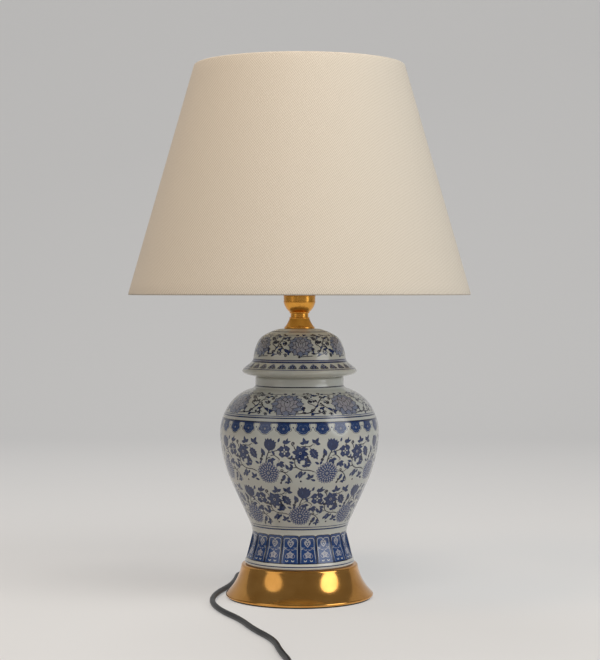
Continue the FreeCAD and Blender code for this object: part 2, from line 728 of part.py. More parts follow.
def make_socket_cap():
    """Bowl with a threaded hub that screws on to the rod; a set screw keeps it from turning."""
    wall, hub = S.cap_wall, S.cap_hub_radius
    wide = S.cap_radius
    outline = [Corner(ROD_HOLE, CAP_SEAT), Corner(hub, CAP_SEAT),
               Corner(hub, CAP_SEAT + 5.0),
               Corner(wide, CAP_TOP - 7.6, 15.0),
               Corner(wide, CAP_TOP),
               Corner(wide - wall, CAP_TOP),
               Corner(wide - wall, CAP_TOP - 7.4),
               Corner(hub, CAP_SEAT + 6.6, wall - 15.0),
               Corner(hub, HUB_TOP), Corner(ROD_HOLE, HUB_TOP)]
    blank = turned("socket_cap_blank", outline)
    centre = CAP_SEAT + 2.5
    hole = cylinder("cap_screw_hole", S.screw_radius + S.exit_play, S.cap_hub_radius * 2,
                    (0, 0, centre), (0, 1, 0))
    node("socket_cap", cut("socket_cap", blank, hole))
    start = S.rod_radius + S.cord_play
    node("cap_screw", cylinder("cap_screw", S.screw_radius, S.screw_length,
                               (0, start, centre), (0, 1, 0)))


def make_socket_shell():
    narrow = S.shell_mouth_radius
    skin = [Corner(SHELL_RADIUS, SHELL_LOW), Corner(SHELL_RADIUS, SHELL_TOP - 14.0),
            Corner(SHELL_RADIUS - 1.0, SHELL_TOP - 3.0), Corner(narrow, SHELL_TOP, 4.0)]
    window = S.shaft_window
    for name, outline in (("socket_shell", skin + inset(skin, S.shell_wall)), ("shell_liner", None)):
        if outline is None:
            blank = ring(name + "_blank", LINER_RADIUS, LINER_RADIUS - S.liner_wall, LINER_LOW,
                         LINER_LOW + S.liner_height)
        else:
            blank = turned(name + "_blank", outline)
        hole = cylinder(name + "_window", window, S.cap_radius * 2, (0, 0, SWITCH_Z), (0, -1, 0))
        node(name, cut(name, blank, hole))


def make_socket_core():
    """Moulded core with its screw shell, centre contact and the two terminal screws."""
    neck = CORE_LOW + S.core_neck
    outline = [Corner(0, CORE_LOW), Corner(S.core_neck_radius, CORE_LOW),
               Corner(S.core_neck_radius, neck), Corner(S.core_radius, neck),
               Corner(S.core_radius, CORE_TOP), Corner(0, CORE_TOP)]
    blank = turned("socket_core_blank", outline)
    bore = cylinder("core_bore", S.shaft_radius + S.run_clearance, S.core_radius * 2,
                    (0, -S.shaft_depth + S.rest_gap, SWITCH_Z), (0, -1, 0))
    node("socket_core", cut("socket_core", blank, bore))
    node("socket_thread", ring("socket_thread", THREAD_BORE + S.thread_wall, THREAD_BORE, CORE_TOP,
                               CORE_TOP + S.thread_height))
    node("socket_contact", cylinder("socket_contact", S.tongue_radius, S.tongue_height,
                                    (0, 0, CORE_TOP)))
    heads = [cylinder(f"terminal_{side}", S.terminal_radius, S.terminal_length,
                      (S.core_neck_radius * sign, 0, CORE_LOW + S.core_neck * 0.5), (sign, 0, 0))
             for side, sign in (("left", -1), ("right", 1))]
    node("terminal_screws", group("terminal_screws", *heads))


def make_switch():
    """Turning key: a shaft in the core's bore and a knob outside the shell."""
    node("switch_shaft", cylinder("switch_shaft", S.shaft_radius, S.shaft_length,
                                  (0, -S.shaft_depth, SWITCH_Z), (0, -1, 0)))
    start = S.shaft_depth + S.shaft_length
    rim, edge = S.key_radius, 1.2
    outline = [Corner(0, 0), Corner(rim * 0.6, 0), Corner(rim - edge, S.key_length * 0.3),
               Corner(rim, S.key_length * 0.45), Corner(rim, S.key_length - edge),
               Corner(rim - edge, S.key_length, edge), Corner(0, S.key_length)]
    node("switch_knob", turned("switch_knob", outline, (0, -start, SWITCH_Z), (0, -1, 0)))


# --- bulb ----------------------------------------------------------------------------------------

TIP_Z = CORE_TOP + S.tongue_height + S.rest_gap
BUTTON_TOP = TIP_Z + S.button_height
BULB_CAP_LOW = BUTTON_TOP + 4.3
BULB_CAP_TOP = BULB_CAP_LOW + S.bulb_cap_height
COLLAR_TOP = BULB_CAP_TOP + S.bulb_collar_height
GLOBE_TOP = COLLAR_TOP + S.globe_height


def make_bulb():
    """Screw bulb: centre contact, insulator, cap, body, light board and globe."""
    pin = S.button_radius * 0.6
    node("bulb_contact", turned("bulb_contact", [
        Corner(0, TIP_Z), Corner(S.button_radius * 0.6, TIP_Z),
        Corner(S.button_radius, TIP_Z + S.button_height * 0.5, 2.6),
        Corner(S.button_radius, BUTTON_TOP), Corner(pin, BUTTON_TOP),
        Corner(pin, BUTTON_TOP + 2.2), Corner(0, BUTTON_TOP + 2.2)]))
    inner = S.bulb_cap_radius - S.thread_wall
    seat = BUTTON_TOP + S.rest_gap
    play = S.run_clearance
    node("bulb_insulator", turned("bulb_insulator", [
        Corner(pin + play, seat), Corner(S.button_radius + 0.8, seat),
        Corner(inner, BULB_CAP_LOW), Corner(inner, BULB_CAP_LOW + 1.5),
        Corner(pin + play, BULB_CAP_LOW + 1.5)]))
    node("bulb_cap", ring("bulb_cap", S.bulb_cap_radius, inner, BULB_CAP_LOW, BULB_CAP_TOP))
    wide = S.bulb_collar_radius
    foot = [Corner(S.bulb_cap_radius + 0.6, BULB_CAP_TOP),
            Corner(S.bulb_cap_radius + 0.6, BULB_CAP_TOP + 2.0),
            Corner(wide, COLLAR_TOP, -90.0)]
    board_low = COLLAR_TOP - S.board_thickness - 1.0
    inner_foot = S.bulb_cap_radius - 4.6
    body = foot + [Corner(wide - 1.6, COLLAR_TOP), Corner(wide - 1.6, board_low),
                   Corner(wide - 8.5, board_low), Corner(wide - 8.5, COLLAR_TOP - 6.0),
                   Corner(inner_foot, BULB_CAP_TOP + 4.0), Corner(inner_foot, BULB_CAP_TOP)]
    node("bulb_body", turned("bulb_body", body))
    node("light_board", cylinder("light_board", S.board_radius, S.board_thickness,
                                 (0, 0, board_low)))
    middle = COLLAR_TOP + S.globe_height - S.globe_radius
    skin = [Corner(wide - 0.2, COLLAR_TOP), Corner(S.globe_radius, middle, 60.0),
            Corner(0, GLOBE_TOP, S.globe_radius)]
    wall = S.globe_wall
    node("bulb_globe", turned("bulb_globe", skin + [
        Corner(0, GLOBE_TOP - wall), Corner(S.globe_radius - wall, middle, wall - S.globe_radius),
        Corner(wide - 0.2 - wall, COLLAR_TOP, wall - 60.0)]))


# --- shade and finial ----------------------------------------------------------------------------

SPIDER_SEAT = HARP_TOP + S.rest_gap
SHADE_TOP = SPIDER_SEAT + S.shade_drop + S.hub_thickness
SHADE_LOW = SHADE_TOP - S.shade_height
TAPER = (S.shade_bottom_radius - S.shade_top_radius) / S.shade_height


def on_cone(z, depth):
    """Corner on the shade's cone at a height, depth inside its outer face."""
    return Corner(S.shade_bottom_radius - TAPER * (z - SHADE_LOW) - depth, z)


def ring_heights():
    rise = S.fabric_thickness + S.ring_wire + S.lining_gap * 2
    return SHADE_LOW + rise, SHADE_TOP - rise


def ring_radius(z):
    return on_cone(z, S.hem_depth * 0.5).x


def make_shade_cover():
    """Fabric cone with its edges turned in round the ring wires, and the stiff lining."""
    cloth, deep, tall = S.fabric_thickness, S.hem_depth, S.hem_height
    low, top = SHADE_LOW, SHADE_TOP
    outline = [on_cone(low, 0), on_cone(top, 0), on_cone(top, deep), on_cone(top - tall, deep),
               on_cone(top - tall, deep - cloth), on_cone(top - cloth, deep - cloth),
               on_cone(top - cloth, cloth), on_cone(low + cloth, cloth),
               on_cone(low + cloth, deep - cloth), on_cone(low + tall, deep - cloth),
               on_cone(low + tall, deep), on_cone(low, deep)]
    blank = turned("shade_fabric_blank", outline)
    arms = [spider_arm(f"shade_notch_{number}", number, S.arm_wire + S.rest_gap)
            for number in range(SPIDER_ARMS)]
    node("shade_fabric", cut("shade_fabric", blank, *arms))
    depth = cloth + S.lining_gap
    clear = cloth + S.ring_wire * 2 + S.rest_gap
    node("shade_lining", turned("shade_lining", [
        on_cone(low + clear, depth), on_cone(top - clear, depth),
        on_cone(top - clear, depth + S.lining_thickness),
        on_cone(low + clear, depth + S.lining_thickness)]))


def spider_arm(name, number, radius):
    """Straight arm from the spider's washer out to the shade's top ring."""
    ring_z = ring_heights()[1]
    inner, low = S.hub_radius - 3.0, SPIDER_SEAT + S.hub_thickness * 0.5
    outer = ring_radius(ring_z) - S.ring_wire - S.lining_gap
    run, rise = (outer - inner).value, (ring_z - low).value
    angle = math.radians(90.0 + 360.0 * number / SPIDER_ARMS)
    way = Vector(math.cos(angle), math.sin(angle), 0)
    item = doc.addObject("Part::Cylinder", name)
    bind(item, "Radius", radius)
    item.Height = math.hypot(run, rise)
    item.setExpression("Height", f"sqrt({(outer - inner).text}^2 + {(ring_z - low).text}^2)")
    place(item, (inner * way.x, inner * way.y, low), (way.x * run, way.y * run, rise))
    return item


def make_shade_frame():
    """Two ring wires, and a spider whose washer drops over the harp's stud."""
    for name, z in zip(("shade_ring_bottom", "shade_ring_top"), ring_heights()):
        item = doc.addObject("Part::Torus", name)
        bind(item, "Radius1", ring_radius(z))
        bind(item, "Radius2", S.ring_wire)
        place(item, (0, 0, z))
        node(name, item)
    hub = cylinder("spider_hub", S.hub_radius, S.hub_thickness, (0, 0, SPIDER_SEAT))
    arms = [spider_arm(f"spider_arm_{number}", number, S.arm_wire) for number in range(SPIDER_ARMS)]
    whole = fused("spider_whole", hub, *arms)
    hole = cylinder("spider_hole", S.stud_radius + S.run_clearance, S.hub_thickness * 9,
                    (0, 0, SPIDER_SEAT - S.hub_thickness * 4))
    floor = cylinder("spider_flat", S.hub_radius, S.arm_wire * 3,
                     (0, 0, SPIDER_SEAT - S.arm_wire * 3))
    node("shade_spider", cut("shade_spider", whole, hole, floor))


def make_finial():
    """Turned knob on a threaded insert that screws on to the harp's stud."""
    low = SPIDER_SEAT + S.hub_thickness + S.rest_gap
    top = low + S.finial_height
    node("finial_insert", ring("finial_insert", S.insert_radius, S.stud_radius + S.run_clearance,
                               low, low + S.insert_height))
    bore = S.insert_radius + S.run_clearance
    foot, ball, tip = S.finial_foot_radius, S.finial_radius, 3.0
    outline = [Corner(bore, low), Corner(foot, low), Corner(foot, low + 1.6),
               Corner(foot - 1.2, low + 3.2, -2.0), Corner(foot - 1.2, low + 5.4),
               Corner(ball, low + 14.4, ball * 1.1),
               Corner(foot - 3.6, top - 6.4, ball * 1.1),
               Corner(tip, top - tip, -4.0),
               Corner(0, top, tip),
               Corner(0, low + S.insert_height + S.rest_gap),
               Corner(bore, low + S.insert_height + S.rest_gap)]
    node("finial_knob", turned("finial_knob", outline))


# --- cord ----------------------------------------------------------------------------------------

RELIEF_TIP = S.relief_inner + S.relief_length
PLUG_Z = S.cord_radius + S.coil_pitch


def make_strain_relief():
    """Moulded boot: a flange inside the foot's wall, and a tapered tail outside it."""
    bore = S.cord_radius + S.cord_play
    flange, boot = S.relief_flange, S.relief_flange + S.relief_boot
    outline = [Corner(bore, 0), Corner(S.relief_flange_radius, 0),
               Corner(S.relief_flange_radius, flange), Corner(S.relief_radius, flange),
               Corner(S.relief_radius, boot), Corner(S.relief_tip_radius, S.relief_length - 1.0),
               Corner(S.relief_tip_radius - 0.8, S.relief_length, 1.2),
               Corner(bore, S.relief_length)]
    node("strain_relief", turned("strain_relief", outline,
                                 (0, S.relief_inner, S.exit_height), (0, 1, 0)))


def make_inner_cord():
    """Cord from the strain relief's tip to the rod, up through it, and its two leads."""
    low, bend = S.exit_height.value, S.cord_bend.value
    end = (ROD_TOP + S.lead_rise).value
    start = Vector(0, RELIEF_TIP.value, low)
    turn = Vector(0, bend, low)
    up = Vector(0, 0, low + bend)
    arc = arc_from(turn, Vector(0, -1, 0), up)[0]
    edges = [Part.LineSegment(start, turn), arc, Part.LineSegment(up, Vector(0, 0, end))]
    path = Part.Wire([edge.toShape() for edge in edges])
    node("inner_cord", shaped("inner_cord", tube(path, S.cord_radius.value, "inner cord")))
    lead = S.lead_radius.value
    side = (S.core_neck_radius + S.terminal_length * 0.5).value
    head = (CORE_LOW + S.core_neck * 0.5 - S.terminal_radius - S.rest_gap).value
    solids = []
    for sign in (-1, 1):
        route = [(sign * lead * 1.7, 0, end), (sign * lead * 1.7, 0, end + 1.6),
                 (sign * side, 0, end + 3.2), (sign * side, 0, head)]
        solids.append(tube(rounded_path(route), lead, "lead wire"))
    node("lead_wires", shaped("lead_wires", Part.makeCompound(solids)))


def make_free_cord():
    points = list(CORD_ROUTE)
    path = rounded_path(points, "free cord")
    node("free_cord", shaped("free_cord", tube(path, S.cord_radius.value, "free cord")))


def coil_station(turn):
    """Place and way of the coil's middle line: radius and height change steadily with the turn."""
    pitch, rise = S.coil_pitch.value, S.coil_pitch.value
    if turn <= COIL_REVERSAL:
        radius, slope, z = S.coil_radius.value - pitch * turn, -pitch, 0.0
    else:
        radius = S.coil_radius.value - pitch * (2 * COIL_REVERSAL + 0.5 - turn)
        slope, z = pitch, rise
    angle = math.pi + 2 * math.pi * turn
    out = Vector(math.cos(angle), math.sin(angle), 0)
    around = Vector(-out.y, out.x, 0)
    place_at = Vector(S.coil_x.value, S.coil_y.value, S.cord_radius.value + z) + out * radius
    return place_at, (around * (2 * math.pi * radius) + out * slope).normalize()


def biarc(start, way, end, way_end):
    """Two arcs from start to end that keep both ways and run into each other."""
    chord, ways = end - start, way + way_end
    denominator = 2 * (1 - way.dot(way_end))
    reach = chord.dot(ways)
    length = (math.sqrt(reach ** 2 + denominator * chord.dot(chord)) - reach) / denominator
    middle = (start + end + (way - way_end) * length) * 0.5
    first, _, first_radius = arc_from(start, way, middle)
    second, _, second_radius = arc_from(end, -way_end, middle)
    back = second.toShape()
    return [first.toShape(), back], min(first_radius, second_radius)


def least_gap(wire, radius, first_turn):
    """Least gap between a coil's turns, on points a few millimetres apart along its middle line."""
    points = wire.discretize(Distance=3.0)
    apart = int(first_turn / (wire.Length / len(points)))
    gaps = [(one - other).Length for index, one in enumerate(points) for other in
            points[index + apart:]]
    return min(gaps) - 2 * radius


def make_coil():
    """The rest of the cord, wound in two layers: in below, a climb of half a turn, out above."""
    radius = S.cord_radius.value
    stations = [coil_station(turn) for turn in COIL_STATIONS]
    first, first_way = stations[0]
    lead_in = first - first_way * (2 * radius)
    edges, radii = [Part.LineSegment(lead_in, first).toShape()], []
    for (start, way), (end, way_end) in zip(stations, stations[1:]):
        arcs, least = biarc(start, way, end, way_end)
        edges += arcs
        radii.append(least)
    last, last_way = stations[-1]
    tail = last + last_way * (2 * radius)
    edges.append(Part.LineSegment(last, tail).toShape())
    path = Part.Wire(Part.__sortEdges__(edges))
    gap = least_gap(path, radius, math.pi * min(radii))
    print(f"coil: tightest bend {min(radii):.1f}, least gap to itself {gap:.2f}")
    node("cord_coil", shaped("cord_coil", tube(path, radius, "coil")))
    return tail, last_way


def make_plug(tail, way):
    """Flat two-blade plug that lies beside the coil, its tapered boot on the coil's tail."""
    half, neck = S.plug_width * 0.5, S.plug_neck * 0.5
    wide, taper = neck - 1.0, S.plug_relief_length
    boot = [Corner(0, 0), Corner(S.plug_relief_radius, 0), Corner(wide, taper), Corner(0, taper)]
    relief = turned("plug_relief", boot)
    relief.Placement = Placement(tail, Rotation(Vector(0, 0, 1), way))
    node("plug_relief", relief)
    entry = tail + way * taper.value
    length, shoulder = S.plug_length, S.plug_shoulder
    outline = [Corner(0, -neck), Corner(length - shoulder, -half), Corner(length, -half),
               Corner(length, half), Corner(length - shoulder, half), Corner(0, neck)]
    body = padded("plug_body_blank", "XY_Plane", outline, PLUG_Z * 2)
    body.Placement = Placement(entry, Rotation(Vector(1, 0, 0), way))
    doc.recompute()
    rounded = doc.addObject("Part::Fillet", "plug_body")
    rounded.Base = body
    count = len(body.Shape.Edges)
    rounded.Edges = [(number, S.plug_round.value, S.plug_round.value)
                     for number in range(1, count + 1)]
    node("plug_body", rounded)
    side = Vector(-way.y, way.x, 0)
    blades = []
    for name, sign in (("blade_left", 1), ("blade_right", -1)):
        blade = doc.addObject("Part::Box", name)
        bind(blade, "Length", S.blade_length)
        bind(blade, "Width", S.blade_thickness)
        bind(blade, "Height", S.blade_width)
        base = entry + way * length.value
        base += side * (sign * S.blade_spacing.value / 2 - S.blade_thickness.value / 2)
        base.z = PLUG_Z.value - S.blade_width.value / 2
        blade.Placement = Placement(base, Rotation(Vector(1, 0, 0), way))
        blades.append(blade)
    node("plug_blades", group("plug_blades", *blades))


def check_and_export():
    """Refuse a failed feature or a bad solid, then write one file for each sub-part."""
    doc.recompute()
    for item in doc.Objects:
        if "Invalid" in item.State or "Error" in item.State:
            raise RuntimeError(f"{item.Label} failed: {item.State}")
    for label, item in NODES.items():
        shape = item.Shape
        if shape.isNull() or not shape.isValid() or not shape.Solids:
            raise RuntimeError(f"{label} is not a sound solid")
    os.makedirs("parts", exist_ok=True)
    for label, item in NODES.items():
        item.Shape.exportStep(f"parts/{label}.step")
    print(f"{len(NODES)} sub-parts written")


def main():
    make_felt_pad()
    make_metal_base()
    make_bottom_fixings()
    make_jar()
    make_lid()
    make_neck()
    make_saddle()
    make_harp()
    make_ferrules()
    make_socket_cap()
    make_socket_shell()
    make_socket_core()
    make_switch()
    make_bulb()
    make_shade_cover()
    make_shade_frame()
    make_finial()
    make_strain_relief()
    make_inner_cord()
    make_free_cord()
    tail, way = make_coil()
    make_plug(tail, way)
    check_and_export()


main()
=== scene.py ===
"""Looks of the ginger jar lamp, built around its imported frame.

Lengths in the classes are millimetres, as on a maker's drawing; the meshes are put down in metres.
The lamp's axis is Z, its front looks towards -Y, and the cord leaves its foot towards +Y.
"""

import logging
import math
from collections.abc import Callable, Sequence
from dataclasses import dataclass
from enum import Enum
from typing import Any

import bmesh
import bpy
import numpy as np
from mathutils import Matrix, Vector
from mathutils.geometry import delaunay_2d_cdt


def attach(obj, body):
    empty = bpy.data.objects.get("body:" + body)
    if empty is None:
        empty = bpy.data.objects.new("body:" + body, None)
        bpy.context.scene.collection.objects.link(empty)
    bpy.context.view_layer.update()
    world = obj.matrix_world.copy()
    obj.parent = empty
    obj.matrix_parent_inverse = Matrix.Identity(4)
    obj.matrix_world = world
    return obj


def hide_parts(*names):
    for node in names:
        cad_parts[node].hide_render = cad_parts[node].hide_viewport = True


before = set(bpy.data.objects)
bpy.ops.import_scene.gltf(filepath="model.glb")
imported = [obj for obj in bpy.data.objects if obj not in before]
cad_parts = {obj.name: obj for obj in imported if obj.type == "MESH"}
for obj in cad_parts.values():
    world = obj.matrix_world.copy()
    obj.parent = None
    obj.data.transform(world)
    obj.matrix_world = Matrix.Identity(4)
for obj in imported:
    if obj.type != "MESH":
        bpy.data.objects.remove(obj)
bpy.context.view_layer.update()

LOG = logging.getLogger("ginger_jar_lamp")
MM = 0.001
TURN = 2.0 * math.pi
Colour = tuple[float, float, float]
Mesh = bpy.types.Object


# --- finishes: the node helper -------------------------------------------------------------------


def paint(code: str) -> Colour:
    """A colour written as on a paint card, six hex digits, as linear red, green and blue."""
    parts = [int(code[i:i + 2], 16) / 255 for i in (0, 2, 4)]
    return tuple(p / 12.92 if p <= 0.04045 else ((p + 0.055) / 1.055) ** 2.4 for p in parts)


class Socket:
    """One value in a finish; arithmetic on it adds Math nodes."""

    def __init__(self, shader: "Shader", link: bpy.types.NodeSocket) -> None:
        """Keeps the finish that the value belongs to, and its output."""
        self.shader = shader
        self.link = link

    def maths(self, operation: str, *others: Any) -> "Socket":
        """This value and the others through one Math node."""
        values = dict(enumerate((self, *others)))
        return self.shader.node("ShaderNodeMath", {"operation": operation}, values)

    def swapped(self, operation: str, other: Any) -> "Socket":
        """The same, with the other value first."""
        values = {0: other, 1: self}
        return self.shader.node("ShaderNodeMath", {"operation": operation}, values)

    def __add__(self, other: Any) -> "Socket":
        """Sum."""
        return self.maths("ADD", other)

    __radd__ = __add__

    def __sub__(self, other: Any) -> "Socket":
        """Difference."""
        return self.maths("SUBTRACT", other)

    def __rsub__(self, other: Any) -> "Socket":
        """Difference, from the other value."""
        return self.swapped("SUBTRACT", other)

    def __mul__(self, other: Any) -> "Socket":
        """Product."""
        return self.maths("MULTIPLY", other)

    __rmul__ = __mul__

    def __truediv__(self, other: Any) -> "Socket":
        """Quotient."""
        return self.maths("DIVIDE", other)

    def __rtruediv__(self, other: Any) -> "Socket":
        """Quotient of the other value by this one."""
        return self.swapped("DIVIDE", other)

    def __pow__(self, other: Any) -> "Socket":
        """Power."""
        return self.maths("POWER", other)

    def sine(self) -> "Socket":
        """Sine of an angle in radians."""
        return self.maths("SINE")

    def held(self) -> "Socket":
        """The value kept between 0 and 1."""
        return self.maths("MINIMUM", 1.0).maths("MAXIMUM", 0.0)


class Shader:
    """A procedural finish under construction: a material's node tree and the ways to add to it."""

    def __init__(self, name: str) -> None:
        """Starts an empty material of that name."""
        self.material = bpy.data.materials.new(name)
        self.material.use_nodes = True
        self.tree = self.material.node_tree
        self.tree.nodes.clear()

    def node(self, kind: str, settings: dict[str, Any] | None = None,
             inputs: dict[str | int, Any] | None = None, out: str | int = 0) -> Socket:
        """Adds one node.

        Args:
            kind: the node's type.
            settings: its properties, which are set first; "stops" are a ramp's places and colours.
            inputs: values or links by socket name or number.
            out: name or number of the output that is wanted.

        Returns:
            That output.
        """
        made = self.tree.nodes.new(kind)
        for key, value in (settings or {}).items():
            if key == "stops":
                ramp = made.color_ramp
                while len(ramp.elements) < len(value):
                    ramp.elements.new(0.5)
                for element, (place, colour) in zip(ramp.elements, value):
                    element.position, element.color = place, (*colour, 1.0)
            else:
                setattr(made, key, value)
        for key, value in (inputs or {}).items():
            target = (made.inputs[key] if isinstance(key, int) else
                      next(s for s in made.inputs if s.name == key and s.enabled))
            if isinstance(value, Socket):
                self.tree.links.new(value.link, target)
            elif isinstance(value, tuple) and len(value) == 3 and target.type == "RGBA":
                target.default_value = (*value, 1.0)
            else:
                target.default_value = value
        live = [s for s in made.outputs if s.enabled]
        return Socket(self, live[out] if isinstance(out, int) else
                      next(s for s in live if s.name == out))

    def place(self) -> Socket:
        """The point on the piece, in metres in the lamp's frame."""
        return self.node("ShaderNodeTexCoord", out="Object")

    def parts(self) -> tuple[Socket, Socket, Socket]:
        """X, Y and Z of the point on the piece."""
        split = self.node("ShaderNodeSeparateXYZ", inputs={0: self.place()})
        return tuple(Socket(self, s) for s in split.link.node.outputs)

    def joined(self, x: Any, y: Any, z: Any) -> Socket:
        """A vector of three values."""
        return self.node("ShaderNodeCombineXYZ", inputs={0: x, 1: y, 2: z})

    def noise(self, scale: float, detail: float = 3.0, vector: Socket | None = None) -> Socket:
        """Soft noise from 0 to 1; scale is in waves to the metre."""
        return self.node("ShaderNodeTexNoise", None, {
            "Vector": vector or self.place(), "Scale": scale, "Detail": detail}, "Fac")

    def attribute(self, name: str) -> Socket:
        """A value that the mesh carries."""
        return self.node("ShaderNodeAttribute", {"attribute_name": name}, out="Fac")

    def ramp(self, value: Socket, *stops: tuple[float, Colour]) -> Socket:
        """A colour by value."""
        return self.node("ShaderNodeValToRGB", {"stops": stops}, {"Fac": value})

    def eased(self, value: Socket, low: float, high: float) -> Socket:
        """The value's stretch from low to high brought to 0 and 1, and held there."""
        return self.node("ShaderNodeMapRange", None, {
            "Value": value, "From Min": low, "From Max": high})

    def mix(self, share: Any, first: Any, second: Any) -> Socket:
        """Two colours mixed."""
        return self.node("ShaderNodeMix", {"data_type": "RGBA"},
                         {"Factor": share, "A": first, "B": second})

    def bump(self, height: Socket, depth: float) -> Socket:
        """A relief of that depth in metres."""
        return self.node("ShaderNodeBump", None,
                         {"Height": height, "Distance": depth, "Strength": 1.0})

    def surface(self, **inputs: Any) -> bpy.types.Material:
        """Ends the finish with a Principled surface; underscores in the names stand for spaces."""
        named = {key.replace("_", " "): value for key, value in inputs.items()}
        return self.output(self.node("ShaderNodeBsdfPrincipled", None, named))

    def output(self, shader: Socket) -> bpy.types.Material:
        """Ends the finish with a shader."""
        end = self.tree.nodes.new("ShaderNodeOutputMaterial")
        self.tree.links.new(shader.link, end.inputs["Surface"])
        return self.material


# --- shapes: outlines, turned and swept surfaces -------------------------------------------------


class Run(Enum):
    """How an outline's edge runs when it has no radius of its own."""

    STRAIGHT = "straight"
    SMOOTH = "on from the edge before it"


# Distances in metres under which two points are one, and an edge is no edge.
WELD = 2e-7
SLIVER = 1e-8
# A corner of an outline: its radius, its height, and how the edge that comes in to it bends. That
# is a Run, or an arc's radius, which is positive with its centre on the left of the way.
Corner = tuple[float, float] | tuple[float, float, float | Run]
Outline = Sequence[Corner]
Place = tuple[float, float, float]


def left_of(way: np.ndarray) -> np.ndarray:
    """Ways turned a quarter to the left."""
    return np.stack([-way[..., 1], way[..., 0]], axis=-1)


def turned_by(way: np.ndarray, angle: np.ndarray | float) -> np.ndarray:
    """Ways turned to the left by an angle: (x cos - y sin, x sin + y cos)."""
    c, s = np.cos(angle), np.sin(angle)
    return np.stack([way[..., 0] * c - way[..., 1] * s, way[..., 0] * s + way[..., 1] * c], axis=-1)


def trace(corners: Outline, step: float = 0.8, fine: bool = False) -> np.ndarray:
    """Points along an outline.

    A straight edge is start + t chord; an arc is centre - radius times the left of its way, as the
    way turns from one end's to the other's.

    Args:
        corners: the outline's corners in order.
        step: longest stretch between points on an arc.
        fine: whether straight edges are divided too.

    Returns:
        Rows of radius, height, and the way there, in order.
    """
    runs, way = [], np.array([0.0, 1.0])
    for before, corner in zip(corners, corners[1:]):
        start = np.array(before[:2])
        chord = np.array(corner[:2]) - start
        length = float(np.hypot(*chord))
        along, radius = chord / length, corner[2] if len(corner) > 2 else Run.STRAIGHT
        if radius is Run.SMOOTH:
            rise = float(chord @ left_of(way))
            radius = length ** 2 / (2 * rise) if abs(rise) > 1e-6 else Run.STRAIGHT
        if isinstance(radius, Run):
            t = np.linspace(0, 1, max(2, math.ceil(length / step) + 1) if fine else 2)[:, None]
            points, ways = start + t * chord, np.repeat(along[None], len(t), 0)
        else:
            half = math.asin(max(-1.0, min(1.0, length / 2 / radius)))
            count = max(4, math.ceil(abs(2 * half * radius) / step) + 1)
            first = turned_by(along, -half)
            ways = turned_by(first[None], np.linspace(0, 2 * half, count))
            points = start + left_of(first) * radius - left_of(ways) * radius
        way = ways[-1]
        runs.append(np.hstack([points, ways]))
    rows = np.vstack(runs)
    apart = np.hypot(*np.diff(rows[:, :2], axis=0).T) > 1e-6
    return rows[np.concatenate([[True], apart])]


def smoothed(piece: Mesh, sharp: float = 35.0) -> Mesh:
    """Shades a piece smooth up to edges that bend by more degrees than sharp."""
    piece.data.shade_smooth()
    piece.data.set_sharp_from_angle(angle=math.radians(sharp))
    return piece


def grid(name: str, points: np.ndarray, wrap_u: bool = False, wrap_v: bool = False,
         sharp: float = 35.0) -> Mesh:
    """A surface of two parameters: points[u, v] joined to its neighbours by quads.

    Args:
        name: the piece's name.
        points: array of u by v by 3, in millimetres.
        wrap_u: whether the last row of u joins the first.
        wrap_v: the same along v.
        sharp: edges that bend by more degrees than this stay sharp.

    Returns:
        The object at the origin, its poles and seams welded.
    """
    nu, nv = points.shape[:2]
    u = np.arange(nu if wrap_u else nu - 1)
    v = np.arange(nv if wrap_v else nv - 1)
    uu, vv = (a.ravel() for a in np.meshgrid(u, v, indexing="ij"))
    rows = np.stack([uu, uu + 1, uu + 1, uu], axis=1) % nu
    faces = rows * nv + np.stack([vv, vv, vv + 1, vv + 1], axis=1) % nv
    mesh = bpy.data.meshes.new(name)
    mesh.from_pydata((points.reshape(-1, 3) * MM).tolist(), [], faces.tolist())
    mesh.validate()
    return welded(placed(name, mesh), sharp)


def placed(name: str, data: Any) -> Mesh:
    """Puts a mesh, a curve, a light or a camera into the scene as an object at the origin."""
    made = bpy.data.objects.new(name, data)
    bpy.context.scene.collection.objects.link(made)
    return made


def welded(piece: Mesh, sharp: float = 35.0, outwards: bool = False) -> Mesh:
    """Merges a piece's doubled points, and turns its faces outwards if asked."""
    work = bmesh.new()
    work.from_mesh(piece.data)
    bmesh.ops.remove_doubles(work, verts=work.verts, dist=WELD)
    bmesh.ops.dissolve_degenerate(work, edges=work.edges, dist=SLIVER)
    if outwards:
        bmesh.ops.recalc_face_normals(work, faces=work.faces)
    work.to_mesh(piece.data)
    work.free()
    return smoothed(piece, sharp)


def spun(name: str, r: np.ndarray, z: np.ndarray, closed: bool = True,
         centre: tuple[float, float] = (0.0, 0.0), sharp: float = 35.0) -> Mesh:
    """A surface round an axis: (x + r cos a, y + r sin a, z), for each angle and outline point.

    Args:
        name: the piece's name.
        r: one row of radii for each angle, in millimetres.
        z: one height for each of its columns.
        closed: whether the outline joins up to a solid wall.
        centre: the axis, in millimetres.
        sharp: as in grid.

    Returns:
        The object, its faces outwards.
    """
    angle = (np.arange(len(r)) * (TURN / len(r)))[:, None]
    points = np.stack([centre[0] + r * np.cos(angle), centre[1] + r * np.sin(angle),
                       np.tile(z, (len(r), 1))], axis=-1)
    made = grid(name, points, wrap_u=True, wrap_v=closed, sharp=sharp)
    return welded(made, sharp, outwards=closed)


def turned(name: str, outline: np.ndarray, steps: int = 160, closed: bool = True,
           centre: tuple[float, float] = (0.0, 0.0)) -> Mesh:
    """A turned piece: one outline, the same at each of the steps round the axis."""
    return spun(name, np.tile(outline[:, 0], (steps, 1)), outline[:, 1], closed, centre)


